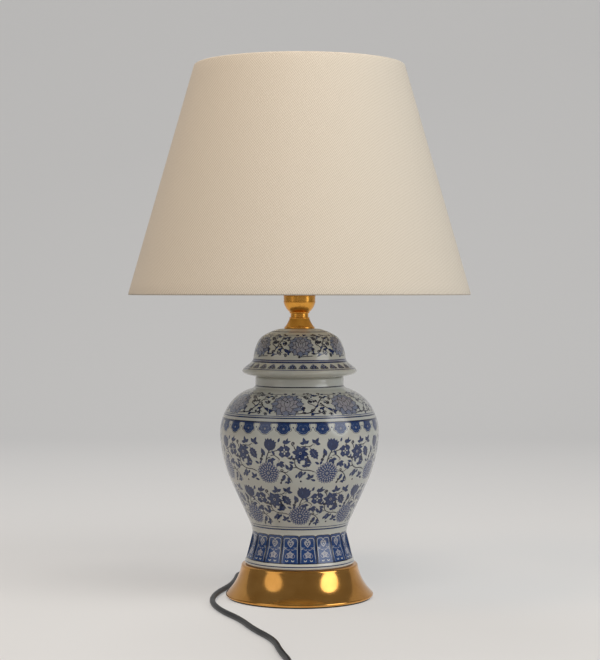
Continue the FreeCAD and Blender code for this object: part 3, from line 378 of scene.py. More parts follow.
def ridden(piece: Mesh, body: str, slot: str, finish: bpy.types.Material, *nodes: str) -> Mesh:
    """Gives a new piece its finish and its body, and hides the CAD nodes that it stands for."""
    piece.data.materials.clear()
    piece.data.materials.append(finish)
    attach(piece, body)
    if nodes:
        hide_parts(*nodes)
    LOG.info("%s rides on %s, %s", piece.name, body,
             f"{len(piece.data.polygons)} faces" if piece.type == "MESH" else "a curve")
    return piece


def dressed(finish: bpy.types.Material, *nodes: str) -> None:
    """Gives carried-over CAD nodes their finish."""
    for name in nodes:
        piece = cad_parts[name]
        if not piece.material_slots:
            piece.data.materials.append(finish)
        for place in piece.material_slots:
            place.material = finish
        LOG.info("%s keeps its CAD shape, with the finish %s", name, finish.name)


# --- finishes ------------------------------------------------------------------------------------


@dataclass(frozen=True)
class Brass:
    """Bare or lacquered brass: a warm metal with turning rings, cloudy wear and small marks.

    rings is the number of turning marks to the millimetre along the outline, and ring_depth
    their depth in metres.
    """

    name: str
    bright: Colour
    dull: Colour
    roughness: float
    rings: float = 1.6
    ring_depth: float = 0.0

    def build(self) -> bpy.types.Material:
        """Makes the material."""
        s = Shader(self.name)
        x, y, z = s.parts()
        radius = (x * x + y * y) ** 0.5
        rings = s.noise(1.0, 2.0, s.joined(radius * self.rings * 1000, z * self.rings * 1000, 0.0))
        clouds = s.noise(45.0, 4.0)
        marks = s.eased(s.noise(420.0, 2.0), 0.66, 0.8)
        colour = s.mix(s.eased(clouds, 0.35, 0.75), self.bright, self.dull)
        rough = (clouds - 0.5) * 0.10 + (rings - 0.5) * 0.10 + marks * 0.12 + self.roughness
        inputs: dict[str, Any] = {"Base Color": colour, "Metallic": 1.0, "Roughness": rough.held()}
        if self.ring_depth:
            inputs["Normal"] = s.bump(rings, self.ring_depth)
        return s.surface(**inputs)


@dataclass(frozen=True)
class Moulded:
    """Plastic, rubber, card, felt or steel: a colour that drifts to another, with a fine grain.

    grain is in waves to the metre and depth in metres.
    """

    name: str
    colour: Colour
    second: Colour
    roughness: float
    grain: float = 900.0
    depth: float = 0.00003
    metallic: float = 0.0

    def build(self) -> bpy.types.Material:
        """Makes the material."""
        s = Shader(self.name)
        drift, grain = s.noise(60.0, 3.0), s.noise(self.grain, 3.0)
        colour = s.mix(s.eased(drift * 0.6 + grain * 0.4, 0.3, 0.7), self.colour, self.second)
        rough = (self.roughness + (grain - 0.5) * 0.16 + (drift - 0.5) * 0.08).held()
        return s.surface(Base_Color=colour, Roughness=rough, Metallic=self.metallic,
                         Normal=s.bump(grain, self.depth))


# The lamp's finishes; a colour is linear, or a code from a paint card.
FELT = Moulded("green_felt", paint("35463A"), paint("273429"), 0.95, 2600.0, 0.0004)
STEEL = Moulded("zinc_plated_steel", (0.60, 0.60, 0.58), (0.48, 0.49, 0.50), 0.32, 500.0, 1e-5, 1.0)
CARD = Moulded("insulating_card", paint("B9A27C"), paint("A68E66"), 0.85, 1800.0, 0.00006)
MOULDING = Moulded("black_moulding", paint("26241F"), paint("1B1A17"), 0.38, 1200.0, 0.00001)
SHEATH = Moulded("cord_sheath", paint("17171A"), paint("0F0F11"), 0.42, 1500.0, 0.00002)
RUBBER = Moulded("plug_rubber", paint("1A1A1C"), paint("121213"), 0.5, 1800.0, 0.00002)
LEADS = Moulded("lead_sheath", paint("202022"), paint("151517"), 0.4, 1500.0, 0.00001)
BULB_SHELL = Moulded("bulb_plastic", paint("E9E9E6"), paint("DEDEDA"), 0.4, 1500.0, 0.00001)
BOARD = Moulded("light_board", paint("EDEDE8"), paint("DCDCD4"), 0.5, 900.0, 0.00001)
LINING = Moulded("shade_card", paint("F4F1E8"), paint("ECE8DC"), 0.6, 1400.0, 0.00003)
WIRE = Moulded("white_wire", paint("E4E2DC"), paint("D6D3CB"), 0.4, 900.0, 0.00001)
ALLOY = Moulded("thread_alloy", (0.62, 0.60, 0.56), (0.52, 0.51, 0.49), 0.28, 500.0, 1e-5, 1.0)
GLOBE = Moulded("frosted_globe", paint("F4F2EC"), paint("EFECE4"), 0.45, 1500.0, 0.00001)
SPUN = Brass("spun_brass", (0.78, 0.39, 0.10), (0.64, 0.29, 0.06), 0.15, 1.2, 2e-6)
TURNED = Brass("turned_brass", (0.86, 0.43, 0.08), (0.76, 0.35, 0.06), 0.24, 1.6, 3e-6)
HARP_BRASS = Brass("harp_brass", (0.78, 0.56, 0.26), (0.66, 0.46, 0.21), 0.28)
HOLDER_BRASS = Brass("holder_brass", (0.80, 0.58, 0.28), (0.68, 0.48, 0.22), 0.24, 1.6, 2e-6)
FINIAL_BRASS = Brass("finial_polish", (0.86, 0.60, 0.26), (0.76, 0.50, 0.2), 0.16)
BLADE_BRASS = Brass("blade_brass", (0.80, 0.66, 0.38), (0.70, 0.57, 0.32), 0.25)
RUBBER_COAT = RUBBER.build()
MOULDING_BLACK = MOULDING.build()
ALLOY_METAL = ALLOY.build()


# --- foot, neck, lampholder, bulb and finial -----------------------------------------------------


# The ways to the lamp's back and front.
BACK = (0.0, 1.0, 0.0)
FRONT = (0.0, -1.0, 0.0)


def bored(piece: Mesh, start: Place, way: Place, radius: float, length: float) -> Mesh:
    """Cuts a round hole through a piece, from a place along a way, in millimetres."""
    made = bmesh.new()
    bmesh.ops.create_cone(made, cap_ends=True, segments=48, radius1=radius * MM,
                          radius2=radius * MM, depth=length * MM)
    drill = placed("drill", bpy.data.meshes.new("drill"))
    made.to_mesh(drill.data)
    made.free()
    drill.location = (Vector(start) + Vector(way) * (length / 2)) * MM
    drill.rotation_euler = Vector(way).to_track_quat("Z", "Y").to_euler()
    cut = piece.modifiers.new("bore", "BOOLEAN")
    cut.operation, cut.object, cut.solver = "DIFFERENCE", drill, "EXACT"
    bpy.context.view_layer.update()
    graph = bpy.context.evaluated_depsgraph_get()
    result = bpy.data.meshes.new_from_object(piece.evaluated_get(graph))
    piece.modifiers.clear()
    piece.data = result
    bpy.data.objects.remove(drill)
    return smoothed(piece)


def on_axis(piece: Mesh, start: Place, way: Sequence[float]) -> Mesh:
    """Moves a piece that was made round +Z so that it stands at a place along another way."""
    turn = Vector(way).to_track_quat("Z", "Y").to_matrix().to_4x4()
    turn.translation = Vector(start) * MM
    piece.data.transform(turn)
    return piece


def fluted(name: str, outline: np.ndarray, flutes: int, depth: float, steps: int) -> Mesh:
    """A turned piece whose radius dips by a share: r (1 - depth (0.5 + 0.5 cos(flutes a))^3)."""
    angle = np.arange(steps) * (TURN / steps)
    dip = 1 - depth * (0.5 + 0.5 * np.cos(flutes * angle)) ** 3
    return spun(name, np.outer(dip, outline[:, 0]), outline[:, 1])


def thread_sleeve(name: str, mean: float, wall: float, low: float, high: float,
                  depth: float = 0.9, pitch: float = 3.6286, steps: int = 96) -> Mesh:
    """A sleeve of sheet rolled into a right-hand round thread.

    Its outside is mean + depth / 2 cos(2 pi z / pitch - a), flat towards both ends; its inside is
    a wall further in.
    """
    angle = np.arange(steps) * (TURN / steps)
    z = np.linspace(low, high, math.ceil((high - low) / pitch * 12) + 1)
    fade = np.clip(np.minimum(z - low, high - z) / (pitch * 0.45), 0, 1)
    wave = mean + depth / 2 * fade * np.cos(TURN * z / pitch - angle[:, None])
    return spun(name, np.hstack([wave, wave[:, ::-1] - wall]), np.concatenate([z, z[::-1]]),
                sharp=60.0)


def ribbed(tip: float, root: float, start: float, length: float, ribs: int) -> np.ndarray:
    """Outside of a tapered boot: the radius falls evenly and dips between its ribs."""
    along = np.linspace(0, 1, ribs * 8 + 1)
    dip = 0.62 * (0.5 - 0.5 * np.cos(TURN * ribs * along)) ** 3
    return np.stack([root + (tip - root) * along - dip, start + length * along], axis=1)


def walled(corners: Outline, wall: float, step: float) -> np.ndarray:
    """The closed section of a sheet: an outline, and back a wall's thickness to its left."""
    skin = trace(corners, step)
    return np.vstack([skin[:, :2], (skin[:, :2] + wall * left_of(skin[:, 2:]))[::-1]])


@dataclass
class Foot:
    """The spun brass foot, the felt under it and the strain relief in its rear wall."""

    skin: Outline = ((85.5, 1.5), (87.5, 3.5, 2.0), (86.5, 5.232, 2.0), (69.2, 37.5, -57.0),
                     (66.7, 40.0, 2.5), (5.4, 40.0))
    wall: float = 1.2
    felt: Outline = ((0, 0), (84.6, 0), (85, 0.4, 0.4), (84.7, 1.5), (0, 1.5))
    flange: Outline = ((3.3, 0), (7.6, 0), (8, 0.4, 0.4), (8, 2.6), (7.6, 3, 0.4), (5.9, 3),
                       (5.9, 19))
    mouth: Outline = ((4.3, 41.0), (3.5, 42, 1.2), (3.3, 42))
    cord_height: float = 11.5
    cord_hole: float = 6.0

    def build(self) -> None:
        """Makes the pieces; the hole and the strain relief are in the rear wall only."""
        base = turned("foot_spun", walled(self.skin, self.wall, 1.0), 288)
        bored(base, (0, 43, self.cord_height), BACK, self.cord_hole, 86.0)
        ridden(base, "stand", "spun_brass", SPUN.build(), "metal_base")
        felt = turned("felt_disc", trace(self.felt, 0.3)[:, :2], 192, closed=False)
        ridden(felt, "stand", "felt", FELT.build(), "felt_pad")
        sleeve = np.vstack([trace(self.flange, 0.3)[:, :2], ribbed(4.5, 5.7, 19.6, 20.0, 6),
                            trace(self.mouth, 0.3)[:, :2]])
        relief = on_axis(turned("relief_ribbed", sleeve, 64), (0, 66, self.cord_height), BACK)
        ridden(relief, "stand", "plug_rubber", RUBBER_COAT, "strain_relief")


@dataclass
class Neck:
    """Turned brass neck: a spreading foot, a waist with two grooves, and a cup with a lip."""

    skin: Outline = (
        (17.7, 318.2), (18.1, 318.6, 0.4), (18.1, 319.8), (17.6, 320.3, 0.5), (17.0, 320.5),
        (11.9, 329.9, -34.0), (12.2, 330.2, 0.3), (12.2, 330.9), (11.9, 331.3, 0.4),
        (10.6, 331.6), (10.6, 333.0), (10.25, 333.3), (10.6, 333.6), (10.6, 335.9), (11.4, 336.3),
        (11.9, 336.9, 0.6), (11.7, 337.7, 0.8), (18.6, 348.6, 19.0), (18.6, 349.0),
        (19.0, 349.4, 0.4), (19.0, 350.0), (18.7, 350.3, 0.4), (18.8, 356.3), (19.0, 356.5),
        (19.0, 356.9), (18.2, 357.7, 0.8), (5.4, 357.7), (5.4, 327.2), (14.9, 318.2),
        (17.7, 318.2))

    def build(self) -> None:
        """Makes the neck."""
        neck = turned("neck_turned", trace(self.skin, 0.4)[:-1, :2])
        ridden(neck, "stand", "turned_brass", TURNED.build(), "neck")


@dataclass
class Holder:
    """Lampholder: cap and shell with rolled beads, screw shell, fluted key, harp sleeves."""

    cap: Outline = (
        (5.4, 359.1), (7.1, 359.1), (7.5, 359.5, 0.4), (7.5, 364.1), (19.3, 373.1, 15.0),
        (19.3, 374.6), (19.6, 375.1, 0.5), (19.6, 375.9), (19.3, 376.4, 0.5), (19.3, 379.6),
        (19.6, 379.9, 0.3), (19.6, 380.4), (19.3, 380.7, 0.3), (18.8, 380.7), (18.8, 373.3),
        (7.5, 365.7, -14.2), (7.5, 369.1), (5.4, 369.1), (5.4, 359.1))
    shell: Outline = (
        (18.7, 375.7), (18.7, 402.2), (18.95, 402.6, 0.6), (18.95, 403.4), (18.7, 403.8, 0.6),
        (18.5, 406.7), (18.0, 413.0), (18.25, 413.5, 0.6), (18.2, 414.2), (17.8, 414.7, 0.6),
        (17.6, 417.7), (16.9, 420.1, 4.0), (16.2, 420.4, 0.6), (15.9, 419.9, 0.5))
    wall: float = 0.5
    key: Outline = ((0, 0), (3.7, 0), (4.7, 3.4), (6.0, 5.2), (6.2, 5.6), (6.2, 10.6),
                    (5.2, 12, 1.4), (0, 12))
    sleeve: Outline = (
        (2.9, 369.4), (3.6, 369.4), (3.9, 369.7, 0.3), (3.9, 371.2), (3.55, 371.6), (3.55, 372.1),
        (3.9, 372.5), (3.9, 383.0), (3.55, 383.4), (3.55, 383.9), (3.9, 384.3), (3.9, 385.6),
        (3.1, 386.4, 0.9), (2.9, 386.4))
    screw_height: float = 361.6
    key_height: float = 388.62
    harp_leg: float = 31.0

    def build(self) -> None:
        """Makes the pieces."""
        brass, harp = HOLDER_BRASS.build(), HARP_BRASS.build()
        cap = turned("cap_spun", trace(self.cap, 0.4)[:-1, :2], 128)
        ridden(bored(cap, (0, 3, self.screw_height), BACK, 1.7, 8.0), "stand", "holder_brass",
               brass, "socket_cap")
        shell = turned("shell_spun", walled(self.shell, self.wall, 0.4))
        ridden(bored(shell, (0, -12, self.key_height), FRONT, 4.2, 12.0), "stand",
               "holder_brass", brass, "socket_shell")
        screw = thread_sleeve("screw_shell", 13.17, 0.4, 394.12, 419.12)
        ridden(screw, "stand", "thread_alloy", ALLOY_METAL, "socket_thread")
        key = fluted("key_fluted", trace(self.key, 0.4)[:, :2], 12, 0.10, 192)
        ridden(on_axis(key, (0, -24, self.key_height), FRONT), "switch", "moulding",
               MOULDING_BLACK, "switch_knob")
        dressed(brass, "socket_contact")
        dressed(harp, "harp", "harp_saddle")
        for name, side in (("left", -1), ("right", 1)):
            sleeve = turned(f"sleeve_{name}", trace(self.sleeve, 0.4)[:, :2], 64,
                            centre=(self.harp_leg * side, 0))
            ridden(sleeve, f"ferrule_{name}", "harp_brass", harp, f"ferrule_{name}")


@dataclass
class Bulb:
    """Screw bulb: a rolled cap, a plastic body with cooling ribs and a frosted globe."""

    body: Outline = (
        (13.7, 423.62), (13.7, 425.2), (14.4, 425.9), (27.0, 450.6, -90.0), (27.0, 451.2),
        (26.6, 451.62, 0.4), (25.4, 451.62), (25.4, 449.0), (18.5, 449.0), (18.5, 445.6),
        (8.5, 427.6), (8.5, 423.62), (13.7, 423.62))
    globe: Outline = ((26.8, 451.62), (30, 474.62, 60.0), (0, 504.62, 30.0), (0, 503.62),
                      (29, 474.62, -29.0), (25.8, 451.62, -59.0))

    def build(self) -> None:
        """Makes the pieces."""
        cap = thread_sleeve("bulb_screw", 12.62, 0.5, 403.3, 423.6)
        ridden(cap, "bulb", "thread_alloy", ALLOY_METAL, "bulb_cap")
        body = fluted("bulb_ribbed", trace(self.body, 0.5)[:-1, :2], 24, 0.012, 288)
        ridden(body, "bulb", "bulb_plastic", BULB_SHELL.build(), "bulb_body")
        globe = turned("globe_blown", trace(self.globe, 1.0)[:, :2], 128)
        ridden(globe, "bulb", "globe", GLOBE.build(), "bulb_globe")


@dataclass
class Finial:
    """Turned brass knob: a beaded foot, a ball and a button on top."""

    skin: Outline = (
        (4.67, 612.9), (7.1, 612.9), (7.4, 613.2, 0.3), (7.4, 614.1), (7.1, 614.5, 0.4),
        (6.2, 616.1, -2.0), (6.2, 616.7), (6.6, 617.0, 0.4), (6.6, 617.4), (6.2, 617.7, 0.4),
        (6.2, 618.3), (9.0, 627.3, 9.9), (3.8, 636.3, 9.9), (3.2, 637.6, -4.0), (3.5, 637.9, 0.4),
        (3.5, 638.4), (3.0, 638.9, 0.5), (2.9, 639.7), (0, 642.7, 3.0), (0, 625.0), (4.67, 625.0))

    def build(self) -> None:
        """Makes the finial."""
        knob = turned("finial_turned", trace(self.skin, 0.4)[:, :2], 96)
        ridden(knob, "finial", "finial_brass", FINIAL_BRASS.build(), "finial_knob")




# --- cord and plug -------------------------------------------------------------------------------


@dataclass
class Mains:
    """Flexible cord from the foot to its plug, wound up beyond the part that the picture shows."""

    route: tuple[Place, ...] = (
        (0, 108, 11.5), (0, 138, 11), (-20, 164, 6.5), (-53, 167, 3.3), (-78, 146, 3.25),
        (-79, 102, 3.25), (-84, 55, 3.25), (-99, 3, 3.25), (-103, -52, 3.25), (-90, -109, 3.25),
        (-65, -163, 3.25), (-49, -220, 3.25), (-26, -276, 3.25), (-19, -335, 3.25),
        (-8, -387, 3.25), (-13, -430, 3.25), (-15, -467.5, 3.25))
    radius: float = 3.25
    length: float = 1830.0
    coil_centre: tuple[float, float] = (27.0, -474.0)
    coil_radius: float = 42.0
    coil_pitch: float = 7.3
    coil_turns: float = 5.25
    coil_reversal: float = 2.25
    coil_climb: float = 0.5
    points_a_turn: int = 24
    tail: float = 6.5
    boot: float = 24.0

    def coil(self) -> np.ndarray:
        """The coil's line: radius falls by a pitch a turn in the lower layer and grows again in
        the upper one, half a turn is the climb between them, and the angle is pi + 2 pi turns."""
        turn = np.arange(0.0, self.coil_turns + 1e-9, 1.0 / self.points_a_turn)
        climb = np.clip((turn - self.coil_reversal) / self.coil_climb, 0.0, 1.0)
        inner = self.coil_radius - self.coil_pitch * self.coil_reversal
        out = np.maximum(turn - self.coil_reversal - self.coil_climb, 0.0)
        radius = np.where(turn <= self.coil_reversal, self.coil_radius - self.coil_pitch * turn,
                          inner + self.coil_pitch * out)
        angle = math.pi + TURN * turn
        x = self.coil_centre[0] + radius * np.cos(angle)
        y = self.coil_centre[1] + radius * np.sin(angle)
        z = self.radius + self.coil_pitch * climb * climb * (3 - 2 * climb)
        return np.stack([x, y, z], axis=1)

    def make_cord(self) -> Mesh:
        """The cord as one spline of its route, the coil's turns and a short straight tail."""
        coil = self.coil()
        way = coil[-1] - coil[-2]
        end = coil[-1] + way / np.linalg.norm(way) * self.tail
        points = np.vstack([np.array(self.route), coil[1:], end[None]]) * MM
        curve = bpy.data.curves.new("flex", "CURVE")
        curve.dimensions = "3D"
        spline = curve.splines.new("NURBS")
        spline.points.add(len(points) - 1)
        spline.points.foreach_set("co", np.hstack([points, np.ones((len(points), 1))]).ravel())
        spline.order_u = 3
        spline.use_endpoint_u = True
        curve.resolution_u = 6
        curve.bevel_depth = self.radius * MM
        curve.bevel_resolution = 4
        curve.use_fill_caps = True
        return placed("flex", curve)

    def plug_place(self) -> tuple[Place, Vector]:
        """Where the cord's end goes into the plug's boot, and the way it goes there."""
        angle = math.pi + TURN * self.coil_turns
        layers = 2 * self.coil_reversal + self.coil_climb - self.coil_turns
        radius = self.coil_radius - self.coil_pitch * layers
        out = np.array([math.cos(angle), math.sin(angle), 0.0])
        around = np.array([-out[1], out[0], 0.0])
        way = around * TURN * radius + out * self.coil_pitch
        way /= np.linalg.norm(way)
        end = (np.array([*self.coil_centre, self.radius + self.coil_pitch]) + out * radius
               + way * 2 * self.radius)
        return tuple(end.tolist()), Vector(way.tolist())

    def build(self) -> None:
        """Makes the cord and dresses what is on it."""
        sheath = SHEATH.build()
        cord = ridden(self.make_cord(), "stand", "cord_sheath", sheath, "free_cord", "cord_coil")
        dressed(sheath, "inner_cord")
        dressed(RUBBER_COAT, "plug_body")
        start, way = self.plug_place()
        ribs = ribbed(3.9, 5.8, 0.0, self.boot, 7)[::-1] * (1, -1) + (0, self.boot)
        outline = np.vstack([[[0.0, 0.0]], ribs, [[0.0, self.boot]]])
        boot = on_axis(turned("plug_boot", outline, 64), start, way)
        ridden(boot, "stand", "plug_rubber", RUBBER_COAT, "plug_relief")
        dressed(BLADE_BRASS.build(), "plug_blades")


# --- shade ---------------------------------------------------------------------------------------


@dataclass(frozen=True)
class Cloth:
    """Fine twill on a cone, laid flat in the shader so that its threads keep their size.

    A point lies at the distance L = r / sine from the cone's tip and at the angle a = turn x sine,
    so its place on the flat cloth is L sin a, L cos a.
    """

    name: str
    colour: Colour
    second: Colour
    sine: float
    pitch: float = 2.0
    rib_way: tuple[float, float] = (0.82, -0.57)

    def build(self) -> bpy.types.Material:
        """Makes the material."""
        s = Shader(self.name)
        x, y, _ = s.parts()
        reach = (x * x + y * y) ** 0.5 / self.sine
        turn = x.maths("ARCTAN2", y * -1.0) * self.sine
        flat_x, flat_y = reach * turn.sine(), reach * turn.maths("COSINE")
        wobble = s.noise(26.0, 3.0) * 0.0016
        rate = TURN / (self.pitch * MM)
        along, across = self.rib_way
        rib = ((flat_x * along + flat_y * across + wobble) * rate).sine()
        thread = ((flat_x * -across + flat_y * along + wobble) * (rate * 0.62)).sine()
        slub = s.noise(1.0, 3.0, s.joined(flat_x * 240.0, flat_y * 1900.0, 0.0))
        weave = rib * 0.42 + thread * 0.12 + (slub - 0.5) * 0.6
        colour = s.mix(s.eased(weave, -0.75, 0.45), self.second, self.colour)
        return s.surface(Base_Color=colour, Roughness=(weave * 0.05 + 0.86).held(),
                         Sheen_Weight=0.12, Sheen_Roughness=0.5, Specular_IOR_Level=0.25,
                         Normal=s.bump(weave, 0.00007))


@dataclass(frozen=True)
class Shade:
    """Empire shade: cloth laminated on a stiff cone, folded in round two ring wires.

    Lengths are radii and heights of the CAD's cone; a fold is a half circle round a ring wire.
    """

    low: float = 358.0
    top: float = 631.0
    bottom_radius: float = 203.2
    top_radius: float = 125.0
    cloth: float = 0.6
    hem: float = 3.8
    hem_height: float = 7.0
    seam_width: float = 13.0
    lap: float = 0.45
    turnings: float = 20.0
    levels: int = 24
    steps: int = 320

    def out(self, z: float | np.ndarray, depth: float | np.ndarray) -> np.ndarray:
        """Radius and height of a point of the cone, a depth inside its face."""
        slope = (self.bottom_radius - self.top_radius) / (self.top - self.low)
        return np.stack([self.bottom_radius - slope * (np.asarray(z) - self.low) - depth,
                         np.asarray(z, float)], axis=-1)

    def fold(self, z: float, side: int, radius: float) -> np.ndarray:
        """Half a circle round a ring wire's middle, over or under it: the cloth's outer face goes
        from outside in, and its inner face, which is tighter, back out."""
        angle = np.linspace(0, math.pi, 9)
        if radius < self.hem / 2:
            angle = angle[::-1]
        depth = self.hem / 2 - radius * np.cos(angle)
        return self.out(z + side * radius * np.sin(angle), depth)

    def outline(self) -> np.ndarray:
        """The cloth's closed section: face, top hem, lining side, bottom hem."""
        wide, tight = self.hem / 2, self.hem / 2 - self.cloth
        low, top = self.low + wide, self.top - wide
        inner = self.hem - self.cloth
        levels = np.linspace(low, top, self.levels)
        under_top, over_low = self.top - self.hem_height, self.low + self.hem_height
        return np.vstack([
            self.out(levels, np.zeros(self.levels)), self.fold(top, 1, wide)[1:-1],
            self.out([top, under_top], np.full(2, self.hem)),
            self.out([under_top, top], np.full(2, inner)), self.fold(top, 1, tight)[1:-1],
            self.out(levels[::-1], np.full(self.levels, self.cloth)),
            self.fold(low, -1, tight)[::-1][1:-1],
            self.out([low, over_low], np.full(2, inner)),
            self.out([over_low, low], np.full(2, self.hem)), self.fold(low, -1, wide)[::-1][1:-1]])

    def make_cover(self) -> Mesh:
        """The cloth turned round the axis, thicker by a lap of its own at the seam behind."""
        outline = self.outline()
        angle = np.arange(self.steps) * (TURN / self.steps)
        arc = (angle - math.pi / 2) * outline[:, 0].mean()
        lap = self.lap * np.clip((self.seam_width / 2 - np.abs(arc)) / 1.6 + 0.5, 0, 1)
        outer = (np.arange(len(outline)) < self.levels).astype(float)
        return spun("shade_cover", outline[:, 0] + np.outer(lap, outer), outline[:, 1], sharp=50.0)

    def build(self) -> None:
        """Makes the shade and dresses its frame."""
        rise = math.hypot(self.bottom_radius - self.top_radius, self.top - self.low)
        sine = (self.bottom_radius - self.top_radius) / rise
        cloth = Cloth("ivory_twill", paint("ECE3D4"), paint("CCC0AD"), sine).build()
        cover = ridden(self.make_cover(), "shade", "shade_cloth", cloth, "shade_fabric")
        dressed(LINING.build(), "shade_lining")
        dressed(WIRE.build(), "shade_ring_bottom", "shade_ring_top", "shade_spider")


# --- cobalt painting: brush strokes, leaves and flowers ------------------------------------------

# A motif is a list of closed outlines in millimetres with their tones, painted in order.
Motif = list[tuple[np.ndarray, float]]


class Tone(float, Enum):
    """How strong the cobalt is, from bare glaze to the darkest line; the middle ones are named for
    what they are painted on."""

    BARE = 0.0
    PALE = 0.06
    MIST = 0.16
    WASH = 0.36
    SOFT = 0.5
    MIDDLE = 0.58
    THIN = 0.62
    GROUND = 0.66
    PANEL = 0.68
    BAND = 0.7
    COLLAR = 0.72
    FULL = 0.82
    LINE = 1.0


def curve_through(points: Sequence[tuple[float, float]], count: int = 6) -> np.ndarray:
    """A smooth line through points: cubic pieces whose way at a point is half the chord between
    its neighbours."""
    p = np.array(points, float)
    padded = np.vstack([2 * p[0] - p[1], p, 2 * p[-1] - p[-2]])
    a, b, c, d = padded[:-3, None], padded[1:-2, None], padded[2:-1, None], padded[3:, None]
    t = np.linspace(0, 1, count, endpoint=False)[None, :, None]
    line = 0.5 * (2 * b + (c - a) * t + (2 * a - 5 * b + 4 * c - d) * t ** 2
                  + (3 * b - a - 3 * c + d) * t ** 3)
    return np.vstack([line.reshape(-1, 2), p[-1:]])


def stroke(line: np.ndarray, width: float | np.ndarray, tone: float = Tone.LINE) -> Motif:
    """A brush stroke: the line moved half its width to each side, drawn in at its ends."""
    way = np.gradient(line, axis=0)
    way /= np.linalg.norm(way, axis=1)[:, None]
    share = np.linspace(0, 1, len(line))
    swell = np.clip(np.minimum(share, 1 - share) * 10, 0.25, 1.0)
    side = left_of(way) * (np.broadcast_to(width, len(line)) * swell / 2)[:, None]
    return [(np.vstack([line + side, (line - side)[::-1]]), float(tone))]


def moved(motif: Motif, x: float = 0.0, y: float = 0.0, turn: float = 0.0, scale: float = 1.0,
          mirror: bool = False) -> Motif:
    """A motif scaled, mirrored left to right, turned by degrees and put at a place."""
    c, s = math.cos(math.radians(turn)) * scale, math.sin(math.radians(turn)) * scale
    turned_to = np.array([[c, s], [-s, c]])
    flip = np.array([-1.0 if mirror else 1.0, 1.0])
    made = []
    for outline, tone in motif:
        placed = (outline * flip) @ turned_to + (x, y)
        made.append((placed[::-1] if mirror else placed, tone))
    return made


def polar(angle: np.ndarray, reach: np.ndarray | float, tone: Tone) -> Motif:
    """A closed shape round the origin: (reach cos a, reach sin a)."""
    return [(np.stack([reach * np.cos(angle), reach * np.sin(angle)], axis=1), float(tone))]


def round_spot(radius: float, tone: Tone = Tone.LINE, sides: int = 8) -> Motif:
    """A round dot."""
    return polar(np.arange(sides) * (TURN / sides), radius, tone)


def halves(right: np.ndarray, tone: Tone) -> Motif:
    """A closed shape of a right half, from one end of the middle line to the other, and its
    mirror image."""
    return [(np.vstack([right, right[::-1] * (-1, 1)]), float(tone))]


def both(motif: Motif) -> Motif:
    """A motif and its mirror image."""
    return motif + moved(motif, mirror=True)


def petal(length: float, width: float, tone: float, count: int = 5, blunt: float = 0.62,
          start: float = 0.0, point: float = 0.0) -> tuple[np.ndarray, float]:
    """A petal that points up from start: half width is sin(pi t^blunt), so blunt under 1 widens
    its foot and over 1 its head; point draws the tip out."""
    t = np.linspace(0, 1, count + 2)
    half = width / 2 * np.sin(np.pi * t ** blunt)
    tall = start + (length - start) * (t + point * t ** 6 * 0.15)
    rim = np.stack([half[1:-1], tall[1:-1]], axis=1)
    left = rim[::-1] * (-1, 1)
    return np.vstack([[[0, tall[0]]], rim, [[0, tall[-1]]], left]), tone


def ring_of(parts: Motif, count: int, turn: float = 0.0, flat: float = 1.0) -> Motif:
    """Copies of a motif round the middle; flat under 1 makes the ring lower than it is wide."""
    made = []
    for number in range(count):
        made += moved(parts, turn=turn + 360.0 * number / count)
    return [(outline * (1.0, flat), tone) for outline, tone in made]


def leaf(length: float, width: float, bend: float = 0.0, tone: Tone = Tone.FULL) -> Motif:
    """A pointed leaf along +Y whose tip leans to the right by bend."""
    outline, value = petal(length, width, float(tone), 5, 0.8)
    lean = np.stack([bend * (outline[:, 1] / length) ** 2, np.zeros(len(outline))], axis=1)
    return [(outline + lean, value)]


def curl(radius: float, turns: float, width: float = 0.75, hand: int = 1) -> Motif:
    """A tendril from the origin up +Y that winds in: its radius falls with the angle, and it
    ends in a dot."""
    t = np.linspace(0, 1, max(9, int(turns * 11)))
    angle = math.pi - TURN * turns * t
    reach = radius * (1 - 0.78 * t)
    line = np.stack([radius + reach * np.cos(angle), reach * np.sin(angle)], axis=1) * (hand, 1.0)
    lead = np.array([[0.0, -radius * 0.9], [0.0, -radius * 0.4]])
    made = stroke(np.vstack([lead, line]), width)
    return made + moved(round_spot(width * 0.95), *line[-1])


def trefoil(size: float) -> Motif:
    """Three small leaves on a short stalk."""
    made = stroke(np.array([[0, -size * 0.5], [0, -size * 0.1], [0, size * 0.3]]), 0.6)
    for turn, share in ((0, 1.0), (68, 0.82), (-68, 0.82)):
        made += moved(leaf(size * share, size * 0.52), turn=turn)
    return made


def toothed_leaf(size: float) -> Motif:
    """A long leaf with four round teeth on each side and a bare vein."""
    half = [(0.0, -0.5), (0.13, -0.4), (0.25, -0.36), (0.22, -0.24), (0.35, -0.14), (0.28, -0.02),
            (0.36, 0.1), (0.24, 0.2), (0.24, 0.34), (0.1, 0.42), (0.0, 0.62)]
    vein = np.array([[0.0, -size * 0.36], [0.15, 0.0], [0.0, size * 0.34]])
    stalk = np.array([[0.0, -size * 0.74], [0.1, -size * 0.5], [0.0, -size * 0.34]])
    return (halves(np.array(half) * size, Tone.FULL) + stroke(vein, 0.4, Tone.WASH)
            + stroke(stalk, 0.9))


def star_flower(size: float) -> Motif:
    """Six broad petals with pointed tips round a bare eye."""
    made = ring_of([petal(size * 0.56, size * 0.35, Tone.FULL, 5, 1.0)], 6, 12.0)
    made += ring_of([petal(size * 0.36, size * 0.04, Tone.MIDDLE, 3, 1.0, size * 0.16)], 6, 12.0)
    return made + round_spot(size * 0.1, Tone.MIST) + round_spot(size * 0.055)


